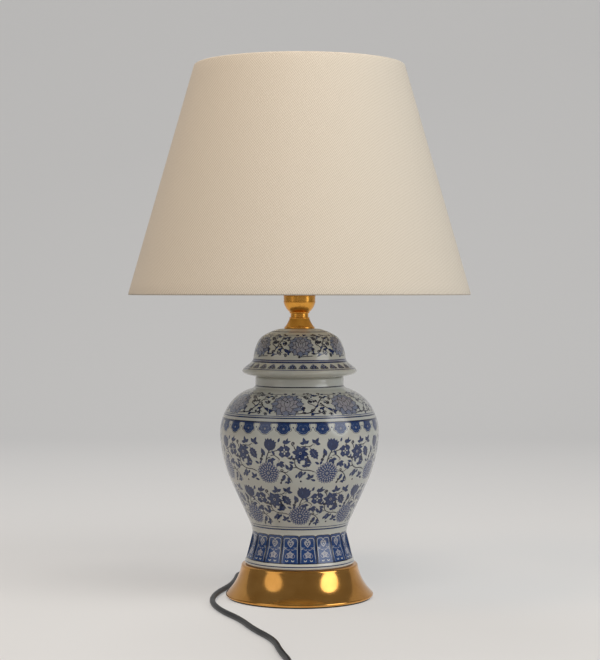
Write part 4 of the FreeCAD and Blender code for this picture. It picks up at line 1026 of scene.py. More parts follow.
def square_flower(size: float) -> Motif:
    """Four broad lobes with a bare cross of small petals in the middle."""
    a = np.linspace(0, TURN, 41)[:-1]
    reach = size / 2 * (0.89 - 0.13 * np.cos(4 * a) - 0.07 * np.cos(8 * a))
    made = polar(a, reach, Tone.FULL)
    made += ring_of([petal(size * 0.4, size * 0.05, Tone.MIDDLE, 3, 1.0, size * 0.26)], 4, 45.0)
    made += ring_of([petal(size * 0.24, size * 0.11, Tone.BARE, 4, 1.0, size * 0.03)], 4)
    return made + round_spot(size * 0.04, Tone.LINE, 6)


def tulip(size: float) -> Motif:
    """A bud seen from the side: a round cup on a short foot, with a ragged mouth."""
    half = [(0, -0.5), (0.12, -0.42), (0.32, -0.32), (0.46, -0.14), (0.5, 0.08), (0.45, 0.22),
            (0.5, 0.42), (0.34, 0.34), (0.28, 0.5), (0.14, 0.4), (0.0, 0.56)]
    fold = [petal(size * 0.5, size * 0.04, Tone.MIDDLE, 3, 1.0, size * 0.2)]
    return halves(np.array(half) * size, Tone.FULL) + moved(fold, 0, -size * 0.3, 16)


def daisy_medallion(radius: float) -> Motif:
    """A full round blossom: rings of narrow petals, each a bare fleck on the blue."""
    a = np.linspace(0, TURN, 89)[:-1]
    reach = radius * (0.93 + 0.07 * np.cos(22 * a) + 0.02 * np.sin(5 * a))
    made = polar(a, reach, Tone.GROUND)
    for count, outer, inner, width, turn in ((22, 0.95, 0.70, 0.145, 8.2),
                                             (17, 0.71, 0.46, 0.13, 0.0),
                                             (12, 0.46, 0.23, 0.12, 8.0)):
        made += ring_of([petal(radius * (outer + 0.02), radius * width * 1.6, Tone.FULL, 3, 1.3,
                               radius * (inner - 0.03)),
                         petal(radius * outer, radius * width, Tone.MIST, 3, 1.3, radius * inner)],
                        count, turn)
    made += round_spot(radius * 0.2, Tone.FULL, 12) + round_spot(radius * 0.13, Tone.MIST, 10)
    return made + round_spot(radius * 0.05, Tone.LINE, 6)


def lined_petal(length: float, width: float, start: float, wash: float, blunt: float,
                lines: int) -> Motif:
    """A petal with a dark rim, a washed inside and fine lines that fan up from its foot."""
    made = [petal(length, width, Tone.LINE, 5, blunt, start, 1.0),
            petal(length - 0.7, width - 1.3, wash, 5, blunt, start + 0.4, 1.0)]
    for number in range(lines):
        lean = (number - (lines - 1) / 2) * 11.0
        tall = length * (0.82 - 0.02 * abs(lean) / 4)
        line = np.array([[0.0, 0.0], [0.0, tall - start]])
        made += moved(stroke(line * 0.82, 0.34, Tone.THIN), 0, start + 0.6, -lean)
    return made


def lotus(width: float, flat: float = 0.78) -> Motif:
    """A lotus in full bloom: an outer ring of washed petals, an inner ring of pale ones, and a
    pod of three pale petals with seeds at its heart."""
    r = width / 2
    outer = lined_petal(r, r * 0.56, r * 0.36, 0.34, 1.15, 3)
    between = lined_petal(r * 0.92, r * 0.4, r * 0.36, 0.46, 1.1, 1)
    inner = lined_petal(r * 0.7, r * 0.5, r * 0.1, 0.2, 1.1, 3)
    made = ring_of(between, 12, 15.0, flat) + ring_of(outer, 12, 0.0, flat)
    made += ring_of(inner, 8, 22.5, flat)
    heart = lined_petal(r * 0.44, r * 0.42, -r * 0.2, Tone.MIST, 0.9, 1)
    for turn, x in ((32, -0.16), (-32, 0.16), (0, 0.0)):
        made += moved(heart, x * r, -r * 0.08, turn)
    return made + moved(round_spot(r * 0.06), 0, r * 0.12)


# --- painted vessels: friezes laid on a turned surface -------------------------------------------


# How far inside its band a stroke is held, the spacing of a plain band's rows, and the gaps under
# which two points are one on the plane and on the vessel, all in millimetres.
EDGE = 0.06
ROW_GAP = 4.5
JOIN = 1e-4
SEAM = 1.5e-3


def inside(points: np.ndarray, outline: np.ndarray) -> np.ndarray:
    """Which points an outline winds round: each edge that passes a point's height on its left
    counts one, and minus one on the way down."""
    a, b = outline[None], np.roll(outline, -1, axis=0)[None]
    p = points[:, None]
    side = ((b[..., 0] - a[..., 0]) * (p[..., 1] - a[..., 1])
            - (b[..., 1] - a[..., 1]) * (p[..., 0] - a[..., 0]))
    up = (a[..., 1] <= p[..., 1]) & (b[..., 1] > p[..., 1]) & (side > 0)
    down = (a[..., 1] > p[..., 1]) & (b[..., 1] <= p[..., 1]) & (side < 0)
    return (up.sum(1) - down.sum(1)) != 0


def lattice(low: np.ndarray, high: np.ndarray, gap: float) -> np.ndarray:
    """Points in staggered rows between two corners, one gap apart and clear of the sides."""
    rows = np.arange(low[1] + gap * 0.8, high[1] - gap * 0.6, gap * 0.9)
    columns = np.arange(low[0] + gap * 0.6, high[0] - gap * 0.4, gap)
    x, y = np.meshgrid(columns, rows)
    x = x + (np.arange(len(rows)) % 2)[:, None] * gap * 0.37
    points = np.stack([x.ravel(), y.ravel()], axis=1)
    return points[points[:, 0] < high[0] - gap * 0.3]


class Skin:
    """The outside of a turned vessel, unrolled so that small shapes keep their shape.

    A point's place on the plane is its angle, and q, the sum of ds / r up the outline.
    """

    def __init__(self, outline: Sequence[Corner]) -> None:
        """Samples the outline, which climbs all the way."""
        self.rows = trace(outline, 0.5, fine=True)
        apart = np.hypot(*np.diff(self.rows[:, :2], axis=0).T)
        middle = (self.rows[1:, 0] + self.rows[:-1, 0]) / 2
        self.q = np.concatenate([[0.0], np.cumsum(apart / middle)])

    def level(self, z: float | np.ndarray) -> Any:
        """The q of a height."""
        return np.interp(z, self.rows[:, 1], self.q)

    def radius(self, z: float | np.ndarray) -> Any:
        """The radius at a height."""
        return np.interp(z, self.rows[:, 1], self.rows[:, 0])

    def put(self, plane: np.ndarray) -> tuple[np.ndarray, np.ndarray]:
        """Points of the plane on the vessel: r cos a, r sin a, z, and the outward way there."""
        r, z, along_r, along_z = (np.interp(plane[:, 1], self.q, self.rows[:, i]) for i in range(4))
        c, s = np.cos(plane[:, 0]), np.sin(plane[:, 0])
        out = np.stack([c * along_z, s * along_z, -along_r], axis=1)
        return (np.stack([r * c, r * s, z], axis=1),
                out / np.linalg.norm(out, axis=1)[:, None])


@dataclass(frozen=True)
class Patch:
    """Part of a vessel's skin: places on the plane, triangles, and each triangle's tone."""

    plane: np.ndarray
    faces: np.ndarray
    tones: np.ndarray


@dataclass(frozen=True)
class Hoop:
    """A plain band up to a height, in one tone."""

    high: float
    tone: float = Tone.BARE


@dataclass(frozen=True)
class Frieze:
    """A painted band: one picture, repeated round the vessel.

    Attributes:
        high: height of its upper edge; its lower edge is where the band below ends.
        repeats: how many pictures go round.
        posts: divisions of one picture's upper and lower edges.
        turn: angle of one picture's main flower, in degrees from the lamp's front.
        picture: makes the motif, given the band's plane.
        inset: millimetres from the picture's left side to that flower, which is in its middle
            without it.
        gap: spacing of the points that hold the bare ground.
    """

    high: float
    repeats: int
    posts: int
    turn: float
    picture: Callable[["Ground"], Motif]
    inset: float | None = None
    gap: float = 4.8

    def ground(self, skin: "Skin", low: float) -> "Ground":
        """The plane of one picture whose lower edge is at a height."""
        return Ground(skin, low, self.high, TURN / self.repeats)

    def start(self, skin: "Skin", low: float) -> float:
        """Angle of a picture's left side."""
        ground = self.ground(skin, low)
        inset = ground.width / 2 if self.inset is None else self.inset
        return math.radians(self.turn) - math.pi / 2 - inset / ground.scale

    def ring(self, skin: "Skin", low: float) -> np.ndarray:
        """Angles of the points on its edges, in order."""
        count = self.repeats * self.posts
        return np.sort((self.start(skin, low) + np.arange(count) * (TURN / count)) % TURN)


@dataclass(frozen=True)
class Ground:
    """The plane that one picture is painted on, in millimetres at the band's middle radius."""

    skin: Skin
    low: float
    high: float
    span: float

    @property
    def scale(self) -> float:
        """Millimetres to a radian, at the middle."""
        return float(self.skin.radius((self.low + self.high) / 2))

    @property
    def width(self) -> float:
        """Width of the picture."""
        return self.span * self.scale

    def up(self, z: float) -> float:
        """Height on the plane, over its lower edge."""
        return float(self.skin.level(z) - self.skin.level(self.low)) * self.scale


def tones_at(points: np.ndarray, shapes: Motif) -> np.ndarray:
    """The tone of the last stroke over each point."""
    tones = np.zeros(len(points))
    for outline, tone in shapes:
        near = np.nonzero((points >= outline.min(0)).all(1) & (points <= outline.max(0)).all(1))[0]
        tones[near[inside(points[near], outline)]] = tone
    return tones


def tone_edges(faces: np.ndarray, tones: np.ndarray) -> np.ndarray:
    """The triangles' sides that have one tone on one side and another, or nothing, on the other."""
    sides = np.sort(np.vstack([faces[:, [0, 1]], faces[:, [1, 2]], faces[:, [2, 0]]]), axis=1)
    sides, which, count = np.unique(sides, axis=0, return_inverse=True, return_counts=True)
    least, most = np.full(len(sides), 2.0), np.full(len(sides), -1.0)
    np.minimum.at(least, which.ravel(), np.tile(tones, 3))
    np.maximum.at(most, which.ravel(), np.tile(tones, 3))
    return sides[(least != most) | (count == 1)]


def frieze_patch(skin: Skin, low: float, frieze: Frieze) -> Patch:
    """Lays out a frieze: the strokes of one picture and its neighbours cut its ground into
    triangles, each of which takes the tone of the last stroke over it."""
    ground = frieze.ground(skin, low)
    width, tall = ground.width, ground.up(frieze.high)
    # A stroke that crossed the upper or lower edge would leave a point there that the next band
    # lacks, so each is held just inside.
    shapes = [(np.stack([outline[:, 0] + side * width,
                         outline[:, 1].clip(EDGE, tall - EDGE)], axis=1), tone)
              for outline, tone in frieze.picture(ground) for side in (-1, 0, 1)]
    shapes = [s for s in shapes if s[0][:, 0].max() > -width / 2 and s[0][:, 0].min() < width / 2]
    across = np.linspace(-width / 2, width / 2, frieze.posts + 1)
    upward = np.linspace(0, tall, max(2, round(tall / frieze.gap) + 1))
    rim = np.vstack([
        np.stack([across, np.zeros_like(across)], axis=1),
        np.stack([np.full(len(upward) - 1, width / 2), upward[1:]], axis=1),
        np.stack([across[-2::-1], np.full(len(across) - 1, tall)], axis=1),
        np.stack([np.full(len(upward) - 2, -width / 2), upward[-2:0:-1]], axis=1)])
    field_points = lattice(np.array([-width / 2, 0.0]), np.array([width / 2, tall]), frieze.gap)
    loops = [rim] + [outline for outline, _ in shapes]
    starts = np.cumsum([0] + [len(loop) for loop in loops])
    edges = np.vstack([np.stack([np.arange(len(loop)), (np.arange(len(loop)) + 1) % len(loop)],
                                axis=1) + start for loop, start in zip(loops, starts)])
    points = np.vstack(loops + [field_points])
    for _ in range(2):
        cut = delaunay_2d_cdt([Vector(p) for p in points.tolist()], edges.tolist(), [], 0, JOIN,
                              False)
        flat = np.array([tuple(v) for v in cut[0]])
        faces = np.array(cut[2])
        middle = flat[faces].mean(1)
        kept = (np.abs(middle[:, 0]) < width / 2) & (middle[:, 1] > 0) & (middle[:, 1] < tall)
        faces = faces[kept]
        tones = tones_at(middle[kept], shapes)
        # The second time round, only the lines between two tones cut the ground.
        edges = tone_edges(faces, tones)
        used, edges = np.unique(edges, return_inverse=True)
        points, edges = np.vstack([flat[used], field_points]), edges.reshape(-1, 2)
    used, faces = np.unique(faces, return_inverse=True)
    flat, faces = flat[used], faces.reshape(-1, 3)
    plane = np.stack([(flat[:, 0] + width / 2) / ground.scale,
                      skin.level(low) + flat[:, 1] / ground.scale], axis=1)
    turns = frieze.start(skin, low) + np.arange(frieze.repeats) * ground.span
    return Patch(
        np.vstack([plane + (turn, 0.0) for turn in turns]),
        np.vstack([faces + number * len(plane) for number in range(frieze.repeats)]),
        np.tile(tones, frieze.repeats))


def hoop_patch(skin: Skin, low: float, high: float, tone: float, below: np.ndarray,
               above: np.ndarray) -> Patch:
    """A plain band between two rings of points at their own angles: rows of the lower ring's
    points, and a last strip in which each point, in order of angle, takes the next on the other
    side."""
    tall = float(skin.level(high) - skin.level(low)) * float(skin.radius(low))
    levels = np.linspace(skin.level(low), skin.level(high), max(2, math.ceil(tall / ROW_GAP) + 1))
    n, rows = len(below), len(levels) - 1
    plane = np.vstack([np.stack([below, np.full(n, q)], axis=1) for q in levels[:-1]]
                      + [np.stack([above, np.full(len(above), levels[-1])], axis=1)])
    k = np.arange(n)
    made = []
    for row in range(rows - 1):
        a, b = row * n + k, row * n + (k + 1) % n
        made += [np.stack([a, b, b + n], axis=1), np.stack([a, b + n, a + n], axis=1)]
    angles = np.concatenate([below, above])
    upper = np.concatenate([np.zeros(n, bool), np.ones(len(above), bool)])
    ids = np.concatenate([(rows - 1) * n + k, rows * n + np.arange(len(above))])
    order = np.lexsort((upper, angles))
    upper, ids = upper[order], ids[order]
    last = {True: int(ids[upper][-1]), False: int(ids[~upper][-1])}
    strip = []
    for is_upper, point in zip(upper.tolist(), ids.tolist()):
        mine, other = last[is_upper], last[not is_upper]
        strip.append((mine, other, point) if is_upper else (mine, point, other))
        last[is_upper] = point
    faces = np.vstack(made + [np.array(strip)])
    return Patch(plane, faces, np.full(len(faces), float(tone)))


def glazed(name: str, skin: Skin, low: float, courses: Sequence[Hoop | Frieze],
           rest: np.ndarray, steps: int = 180) -> Mesh:
    """A vessel with a painted outside.

    Args:
        name: the piece's name.
        skin: its outside.
        low: height at which the courses start.
        courses: its bands from below to above.
        rest: outline from the courses' upper end round the inside back to their lower end.
        steps: divisions of the plain parts.

    Returns:
        The closed vessel; each face carries its tone as "cobalt".
    """
    plain = np.arange(steps) * (TURN / steps)
    ring, patches, z = plain, [], low
    for number, course in enumerate(courses):
        after = courses[number + 1] if number + 1 < len(courses) else None
        if isinstance(course, Frieze):
            patches.append(frieze_patch(skin, z, course))
            ring = course.ring(skin, z)
        else:
            above = (after.ring(skin, course.high) if isinstance(after, Frieze) else
                     plain if after is None else ring)
            patches.append(hoop_patch(skin, z, course.high, course.tone, ring, above))
            ring = above
        z = course.high
    starts = np.cumsum([0] + [len(p.plane) for p in patches])
    faces = np.vstack([p.faces + start for p, start in zip(patches, starts)])
    tones = np.concatenate([p.tones for p in patches])
    points, ways = skin.put(np.vstack([p.plane for p in patches]))
    # The plain parts: quads between the outline's points, turned round the axis.
    r, z_rest = rest[:, 0], rest[:, 1]
    lathe = np.stack([np.outer(r, np.cos(plain)), np.outer(r, np.sin(plain)),
                      np.repeat(z_rest[:, None], steps, 1)], axis=-1).reshape(-1, 3)
    i, j = (a.ravel() for a in np.meshgrid(np.arange(len(r) - 1), np.arange(steps), indexing="ij"))
    a, b = i * steps + j, i * steps + (j + 1) % steps
    quads = np.stack([a, b, b + steps, a + steps], axis=1) + len(points)
    mesh = bpy.data.meshes.new(name)
    mesh.from_pydata((np.vstack([points, lathe]) * MM).tolist(), [],
                     faces.tolist() + quads.tolist())
    mesh.attributes.new("cobalt", "FLOAT", "FACE").data.foreach_set(
        "value", np.concatenate([tones, np.zeros(len(quads))]).astype(np.float32))
    mesh.attributes.new("out", "FLOAT_VECTOR", "POINT").data.foreach_set(
        "vector", np.vstack([ways, np.zeros_like(lathe)]).astype(np.float32).ravel())
    made = placed(name, mesh)
    work = bmesh.new()
    work.from_mesh(mesh)
    bmesh.ops.remove_doubles(work, verts=work.verts, dist=SEAM * MM)
    open_edges = sum(1 for edge in work.edges if len(edge.link_faces) != 2)
    work.to_mesh(mesh)
    work.free()
    smoothed(made, 30.0)
    out = np.zeros(len(mesh.vertices) * 3, np.float32)
    mesh.attributes["out"].data.foreach_get("vector", out)
    mesh.normals_split_custom_set_from_vertices(out.reshape(-1, 3).tolist())
    mesh.attributes.remove(mesh.attributes["out"])
    LOG.info("%s: %d faces, %d open edges", name, len(mesh.polygons), open_edges)
    return made
# --- the pictures on the jar and the lid ---------------------------------------------------------

# How much wider than its given width a stem is painted, and how many millimetres a belly row's
# medallion is from its picture's left side.
BRUSH = 1.5
BELLY_INSET = 13.6
Picture = Callable[[Ground], Motif]


def vine(*points: tuple[float, float], width: float) -> Motif:
    """A stem through points."""
    return stroke(curve_through(points, 4), width * BRUSH)


def ink_leaf(length: float, width: float) -> Motif:
    """A leaf in the darkest tone."""
    return leaf(length, width, tone=Tone.LINE)


def berry(size: float) -> Motif:
    """A round berry beside a small leaf."""
    return (round_spot(size * 0.42)
            + moved(ink_leaf(size * 1.5, size * 0.6), size * 0.2, size * 0.2, -40))


def cap_sprig(size: float) -> Motif:
    """The spray over a flower: two leaves that lean to one side, over a small round one."""
    made = vine((0, -size), (0, -size * 0.4), (0, 0), width=1.2)
    for hand in (False, True):
        made += moved(leaf(size * 0.95, size * 0.42, size * 0.3), turn=-48, mirror=hand)
    return made + leaf(size * 0.6, size * 0.5)


def belly_unit(squeeze: float) -> Motif:
    """The flowers, leaves and stems that belong to one medallion, which is at the origin; squeeze
    draws them towards it."""
    made: Motif = []
    for width, *points in (
            (0.9, (-0.8, 11.0), (-1.0, 16.0), (1.5, 23.0), (4.5, 28.5)),
            (0.7, (2.6, 25.0), (7.5, 26.0), (15.5, 28.4)),
            (0.7, (4.2, 21.0), (9.0, 22.0), (14.5, 18.0), (14.8, 15.5)),
            (0.6, (-1.0, 16.0), (2.0, 19.0), (4.6, 18.4)),
            (0.85, (33.2, 19.0), (33.0, 12.0), (35.6, 7.6), (42.0, 4.6), (50.0, 4.2), (58.5, 1.2)),
            (0.8, (36.0, 8.6), (30.8, 7.4), (29.6, 9.6)),
            (0.7, (34.5, 29.0), (40.0, 32.0), (49.0, 32.2), (54.0, 35.0)),
            (0.8, (32.0, 33.0), (33.4, 29.0), (37.5, 27.0)),
            (0.75, (11.8, 1.6), (17.0, 2.2), (21.5, 0.0), (26.0, -5.0), (29.6, -12.0)),
            (0.6, (17.0, 2.0), (23.0, 1.6), (25.6, 4.2)),
            (1.3, (21.4, 20.5), (21.4, 31.0))):
        made += vine(*points, width=width)
    made = moved(made, scale=squeeze)
    for part, x, y, turn in (
            (tulip(14.2), 4.4, 33.4, -14), (cap_sprig(8.2), 21.6, 34.6, 2),
            (square_flower(15.2), 21.2, 26.2, 4), (star_flower(17.0), 39.2, 24.6, 10),
            (toothed_leaf(13.6), 54.6, 24.0, -146), (trefoil(7.2), 44.2, 35.4, 15),
            (trefoil(7.4), 56.0, 35.6, -30), (trefoil(7.4), 4.8, 17.2, -160),
            (trefoil(7.4), 14.8, 13.0, -150), (leaf(9.4, 5.0, 0.8), -2.4, 21.2, 28),
            (berry(4.8), -7.2, 17.0, 20), (leaf(11.0, 5.6, 1.2), 43.2, 18.6, -118),
            (curl(2.2, 0.8, 1.3), 30.4, 33.6, 60), (berry(4.4), 31.6, 17.8, 120),
            (trefoil(7.2), 46.4, 9.0, 10), (toothed_leaf(9.6), 39.2, -1.2, 165),
            (round_spot(1.3), 39.9, -10.2, 0), (trefoil(7.4), 51.6, -6.0, 30),
            (leaf(8.2, 4.2), 26.4, 3.4, -30), (leaf(8.0, 4.0), 25.4, 4.6, 26),
            (leaf(9.6, 4.6, -0.8), 21.0, -1.4, 154), (curl(2.0, 0.8, 1.0), 16.2, 4.6, -40),
            (leaf(7.6, 3.4), 24.6, -4.4, -172), (berry(4.4), 16.6, -8.8, 200),
            (leaf(6.6, 3.2), 32.2, 12.8, 74), (leaf(6.8, 3.2), 58.2, -9.8, 70),
            (leaf(6.4, 3.0), 30.8, 7.6, 40), (leaf(6.6, 3.0), 9.8, 22.0, 30),
            (berry(3.8), 48.6, 16.4, 60), (leaf(6.0, 2.8), 33.6, -6.0, -20),
            (leaf(6.2, 2.8), 12.6, 27.4, -60), (leaf(5.4, 2.6), 14.2, 36.6, -20),
            (leaf(5.8, 2.8), 48.2, 29.6, 100), (leaf(6.0, 3.0), 46.0, 2.6, 140),
            (leaf(5.6, 2.8), 20.6, 8.2, 30), (trefoil(5.6), 23.6, -10.6, 190),
            (leaf(6.2, 3.0), -10.6, 11.4, 60), (leaf(6.0, 2.8), 62.0, 11.0, -30),
            (trefoil(5.4), 36.4, 15.4, -70), (leaf(5.6, 2.6), 30.2, 22.4, 160)):
        made += moved(part, x * squeeze, y * squeeze, turn)
    return made + daisy_medallion(14.2)


def belly_picture(medallion_z: float, squeeze: float) -> Picture:
    """One repeat of a belly row, its medallion near the left side at a height."""

    def picture(ground: Ground) -> Motif:
        """Puts the unit on its ground."""
        return moved(belly_unit(squeeze), BELLY_INSET - ground.width / 2, ground.up(medallion_z))

    return picture


def scroll_picture(size: float, flat: float, centre_z: float, dot_z: float,
                   reach: float) -> Picture:
    """One repeat of the lotus scroll: a bloom, and the winding stem up to the next.

    Args:
        size: the bloom's width.
        flat: its height over its width.
        centre_z: height of its middle.
        dot_z: height of the dot under it.
        reach: half height of the scroll, along the surface.
    """

    def picture(ground: Ground) -> Motif:
        """Draws the stems first, the bloom over them."""
        y, edge, k = ground.up(centre_z), size / 2, reach / 14.0
        bloom, gap = 1.0 + edge - ground.width / 2, ground.width - size

        def spot(share: float, up: float) -> tuple[float, float]:
            """A place between this bloom and the next, whose sides are 0 and 1."""
            return bloom + edge + share * gap, y + up * k

        made: Motif = []
        for width, *places in (
                (0.85, (-0.1, -11.0), (0.2, -10.4), (0.42, -4.0), (0.52, 1.6), (0.66, 8.0),
                 (0.86, 11.4), (1.12, 9.0)),
                (0.7, (0.42, -4.0), (0.3, -1.0), (0.2, 0.4)),
                (0.7, (0.52, 1.6), (0.38, 4.6), (0.24, 8.2)),
                (0.7, (0.46, -1.0), (0.66, -2.6), (0.84, -6.2)),
                (0.7, (0.6, 5.2), (0.78, 5.4), (0.9, 1.4)),
                (0.7, (-0.1, 11.4), (0.12, 13.2), (0.42, 12.6)),
                (0.7, (-0.5, 15.6), (0.3, 15.4), (0.66, 14.0)),
                (0.7, (0.7, 15.0), (1.0, 16.4), (1.4, 15.6)),
                (0.7, (0.2, -10.4), (0.42, -11.4), (0.62, -9.6))):
            made += vine(*(spot(*place) for place in places), width=width)
        for part, share, up, turn in (
                (curl(3.0, 1.2, 1.3), 0.2, 0.4, 60), (curl(2.9, 1.2, 1.3, -1), 0.22, 7.0, -30),
                (curl(2.4, 1.1, 1.2), 0.44, 12.0, 100), (curl(2.4, 1.1, 1.2, -1), 0.1, 12.6, 80),
                (curl(2.6, 1.1, 1.2), 0.9, 3.0, 205), (curl(2.3, 1.1, 1.1, -1), 0.68, -8.8, 60),
                (curl(2.2, 1.1, 1.1), 0.98, 9.6, 250), (curl(2.2, 1.0, 1.1, -1), 0.34, -7.6, 30),
                (curl(2.2, 1.0, 1.1), 0.62, 10.2, 20), (curl(2.1, 1.0, 1.1), 0.84, -11.0, -60),
                (round_spot(1.6), 0.44, 4.6, 0), (round_spot(1.4), 0.5, -9.0, 0),
                (round_spot(1.3, Tone.FULL), 0.3, 10.6, 0),
                (round_spot(1.3, Tone.FULL), 0.74, 2.4, 0),
                (leaf(6.6, 3.2, 1.0), 0.78, -6.0, -96), (leaf(6.2, 3.0, -0.8), 0.84, -5.0, -150),
                (ink_leaf(5.2, 2.6), 0.1, -11.2, 76), (ink_leaf(5.2, 2.6), 0.34, -11.4, 120),
                (leaf(5.0, 2.6), 0.22, -12.2, -80), (trefoil(4.8), 0.02, -6.0, 100),
                (leaf(5.2, 2.6), 0.56, 13.4, 78), (leaf(5.2, 2.6), 0.3, 13.0, -70),
                (ink_leaf(5.2, 2.6), 0.06, -3.6, 150), (trefoil(4.6), 0.98, -9.4, -80),
                (leaf(5.4, 2.8), 0.8, 12.4, -104), (ink_leaf(5.2, 2.8), 1.1, 12.6, 84),
                (leaf(5.0, 2.6), 0.5, -1.6, 128), (trefoil(4.6), 0.6, -4.6, 200),
                (leaf(5.0, 2.6), 0.72, 8.2, -56), (leaf(4.8, 2.4), -0.16, 13.0, 96),
                (curl(2.6, 1.1, 1.2), 0.2, 16.6, 70), (curl(2.6, 1.1, 1.2, -1), 0.66, 16.4, -60),
                (leaf(5.6, 2.8), 0.4, 17.4, 84), (ink_leaf(5.4, 2.8), 0.0, 17.4, -72),
                (leaf(5.6, 2.8), 0.86, 17.2, 100), (trefoil(5.0), -0.34, 16.6, 40),
                (leaf(5.6, 2.8), 1.3, 16.4, -84), (leaf(5.4, 2.6), -0.62, 17.6, 80),
                (berry(3.4), 0.36, 3.2, 120), (berry(3.4), 0.6, 0.6, -100)):
            made += moved(part, *spot(share, up), turn)
        foot = ground.up(dot_z)
        made += vine((bloom - 1.0, foot), (bloom + 5.0, foot + 0.6), (bloom + edge, foot + 1.0),
                     width=0.6)
        made += moved(round_spot(1.4), bloom - edge * 0.12, foot)
        return made + moved(lotus(size, flat), bloom, y)

    return picture


def block(x: float, low: float, high: float, tone: Tone) -> Motif:
    """A rectangle as wide on the left as on the right."""
    return halves(np.array([[x, low], [x, high]]), tone)


def arch(x: float, low: float, high: float, rise: float, tone: Tone) -> Motif:
    """A panel with a round head that starts its rise below the top."""
    head = curve_through([(x, high - rise), (x * 0.75, high - rise * 0.15), (0.0, high),
                          (-x * 0.75, high - rise * 0.15), (-x, high - rise)], 3)
    return [(np.vstack([[[-x, low], [x, low]], head]), float(tone))]


def lappet_picture(ground: Ground) -> Motif:
    """One repeat of the hanging cloud-collar: a blue band and a lobed head with a small bloom."""
    half, top = ground.width / 2, ground.up(ground.high)
    right = curve_through([(0.5, 1.02), (0.42, 0.97), (0.385, 0.86), (0.345, 0.73), (0.37, 0.62),
                           (0.425, 0.50), (0.40, 0.36), (0.30, 0.31), (0.22, 0.18), (0.11, 0.11),
                           (0.0, 0.09)], 3) * (2 * half, top)
    made: Motif = []
    for share, tone in ((1.0, Tone.LINE), (0.94, Tone.BARE), (0.86, Tone.COLLAR)):
        tall = top - (top - right[:, 1]) * (0.55 + 0.45 * share)
        made += halves(np.stack([right[:, 0] * share, tall], axis=1), tone)
    made += block(half + 1, top * 0.86, top + 1, Tone.FULL)
    made += block(half + 1, top * 0.945, top + 1, Tone.LINE)
    bloom: Motif = []
    for line in (((0.6, 3.4), (3.0, 4.2), (4.9, 2.4), (4.4, 0.0), (2.8, 0.4)),
                 ((5.0, -1.8), (3.4, -3.4), (1.4, -3.6), (0, -5.0))):
        bloom += stroke(curve_through(line, 3), 0.5, Tone.SOFT)
    bloom = both(bloom) + ring_of([petal(1.5, 1.1, Tone.MIST, 2)], 5)
    made += moved(bloom + round_spot(0.4, Tone.LINE, 6), 0, top * 0.5)
    return made + moved(round_spot(0.9, Tone.FULL, 7), half, top * 0.60)


def panel_picture(ground: Ground) -> Motif:
    """One upright panel of the foot: an arch, a heart that hangs in it, a bloom, two crescents."""
    half, top = ground.width / 2, ground.up(ground.high)
    made = (arch(half + 0.05, 1.2, top - 0.9, 1.5, Tone.LINE)
            + arch(half - 0.75, 1.9, top - 1.7, 1.6, Tone.PANEL)
            + block(half + 0.05, 1.2, 2.6, Tone.LINE) + block(half - 1.5, 2.2, 6.5, Tone.PANEL))
    frame_line = ((half - 1.9, 3.0), (half - 2.0, 12.0), (half - 2.1, top * 0.52),
                  (half - 1.9, top * 0.76), (half - 2.8, top - 5.4), (half - 5.2, top - 4.6),
                  (1.6, top - 5.0), (0.5, top - 6.8), (1.9, top - 8.2), (3.2, top - 7.1))
    knob = ((half - 2.2, top * 0.50), (half - 4.0, top * 0.52), (half - 3.6, top * 0.56),
            (half - 2.4, top * 0.55))
    right = stroke(curve_through(frame_line, 4), 0.72, Tone.PALE)
    for line, width, tone in (
            (knob, 0.6, Tone.PALE),
            (((1.9, 5.8), (2.5, 4.6), (3.8, 4.4), (4.8, 5.6)), 0.9, Tone.PALE),
            (((0.6, 9.2), (2.6, 8.0), (4.6, 8.8), (5.2, 11.0), (4.0, 11.8)), 0.45, Tone.MIST),
            (((1.2, 18.0), (3.0, 17.2), (4.8, 18.4), (4.6, 20.2), (3.4, 19.8)), 0.45, Tone.MIST),
            (((0.4, top * 0.5), (2.2, top * 0.47), (3.6, top * 0.5)), 0.45, Tone.MIST)):
        right += stroke(curve_through(line, 3), width, tone)
    heart = curve_through([(0, 2.6), (1.8, 3.8), (3.8, 3.0), (3.8, 0.7), (2.1, -1.5), (0, -3.8)], 3)
    made += both(right) + moved(halves(heart, Tone.MIST) + halves(heart * 0.5, Tone.PANEL),
                                0, top * 0.665)
    made += moved(round_spot(0.8, Tone.BARE, 6), 0, top * 0.675)
    bloom = ring_of([petal(4.6, 3.4, Tone.MIST, 4, 0.8)], 5)
    bloom += ring_of([petal(2.6, 0.5, Tone.PANEL, 3, 1.0, 1.0)], 5)
    return made + moved(bloom + round_spot(0.8, Tone.PANEL, 6), 0, top * 0.325)


def border_picture(ground: Ground) -> Motif:
    """One repeat of the lid's rim border: a low triangle round a bloom between two curls."""
    top, half = ground.up(ground.high), 5.5
    rim = curve_through([(-half, 0.9), (-half * 0.55, top * 0.55), (0, top * 0.9),
                         (half * 0.55, top * 0.55), (half, 0.9)], 3)
    bloom = ring_of([petal(top * 0.44, top * 0.3, Tone.FULL, 3)], 5)
    base = np.array([[-half - 0.2, 0.8], [0, 0.7], [half + 0.2, 0.8]])
    return (stroke(rim, 0.9, Tone.BAND)
            + moved(bloom + round_spot(top * 0.09, Tone.MIST, 6), 0, top * 0.42)
            + both(moved(curl(1.2, 0.8, 0.85), half * 0.44, top * 0.26, -20))
            + stroke(base, 0.5, Tone.FULL))




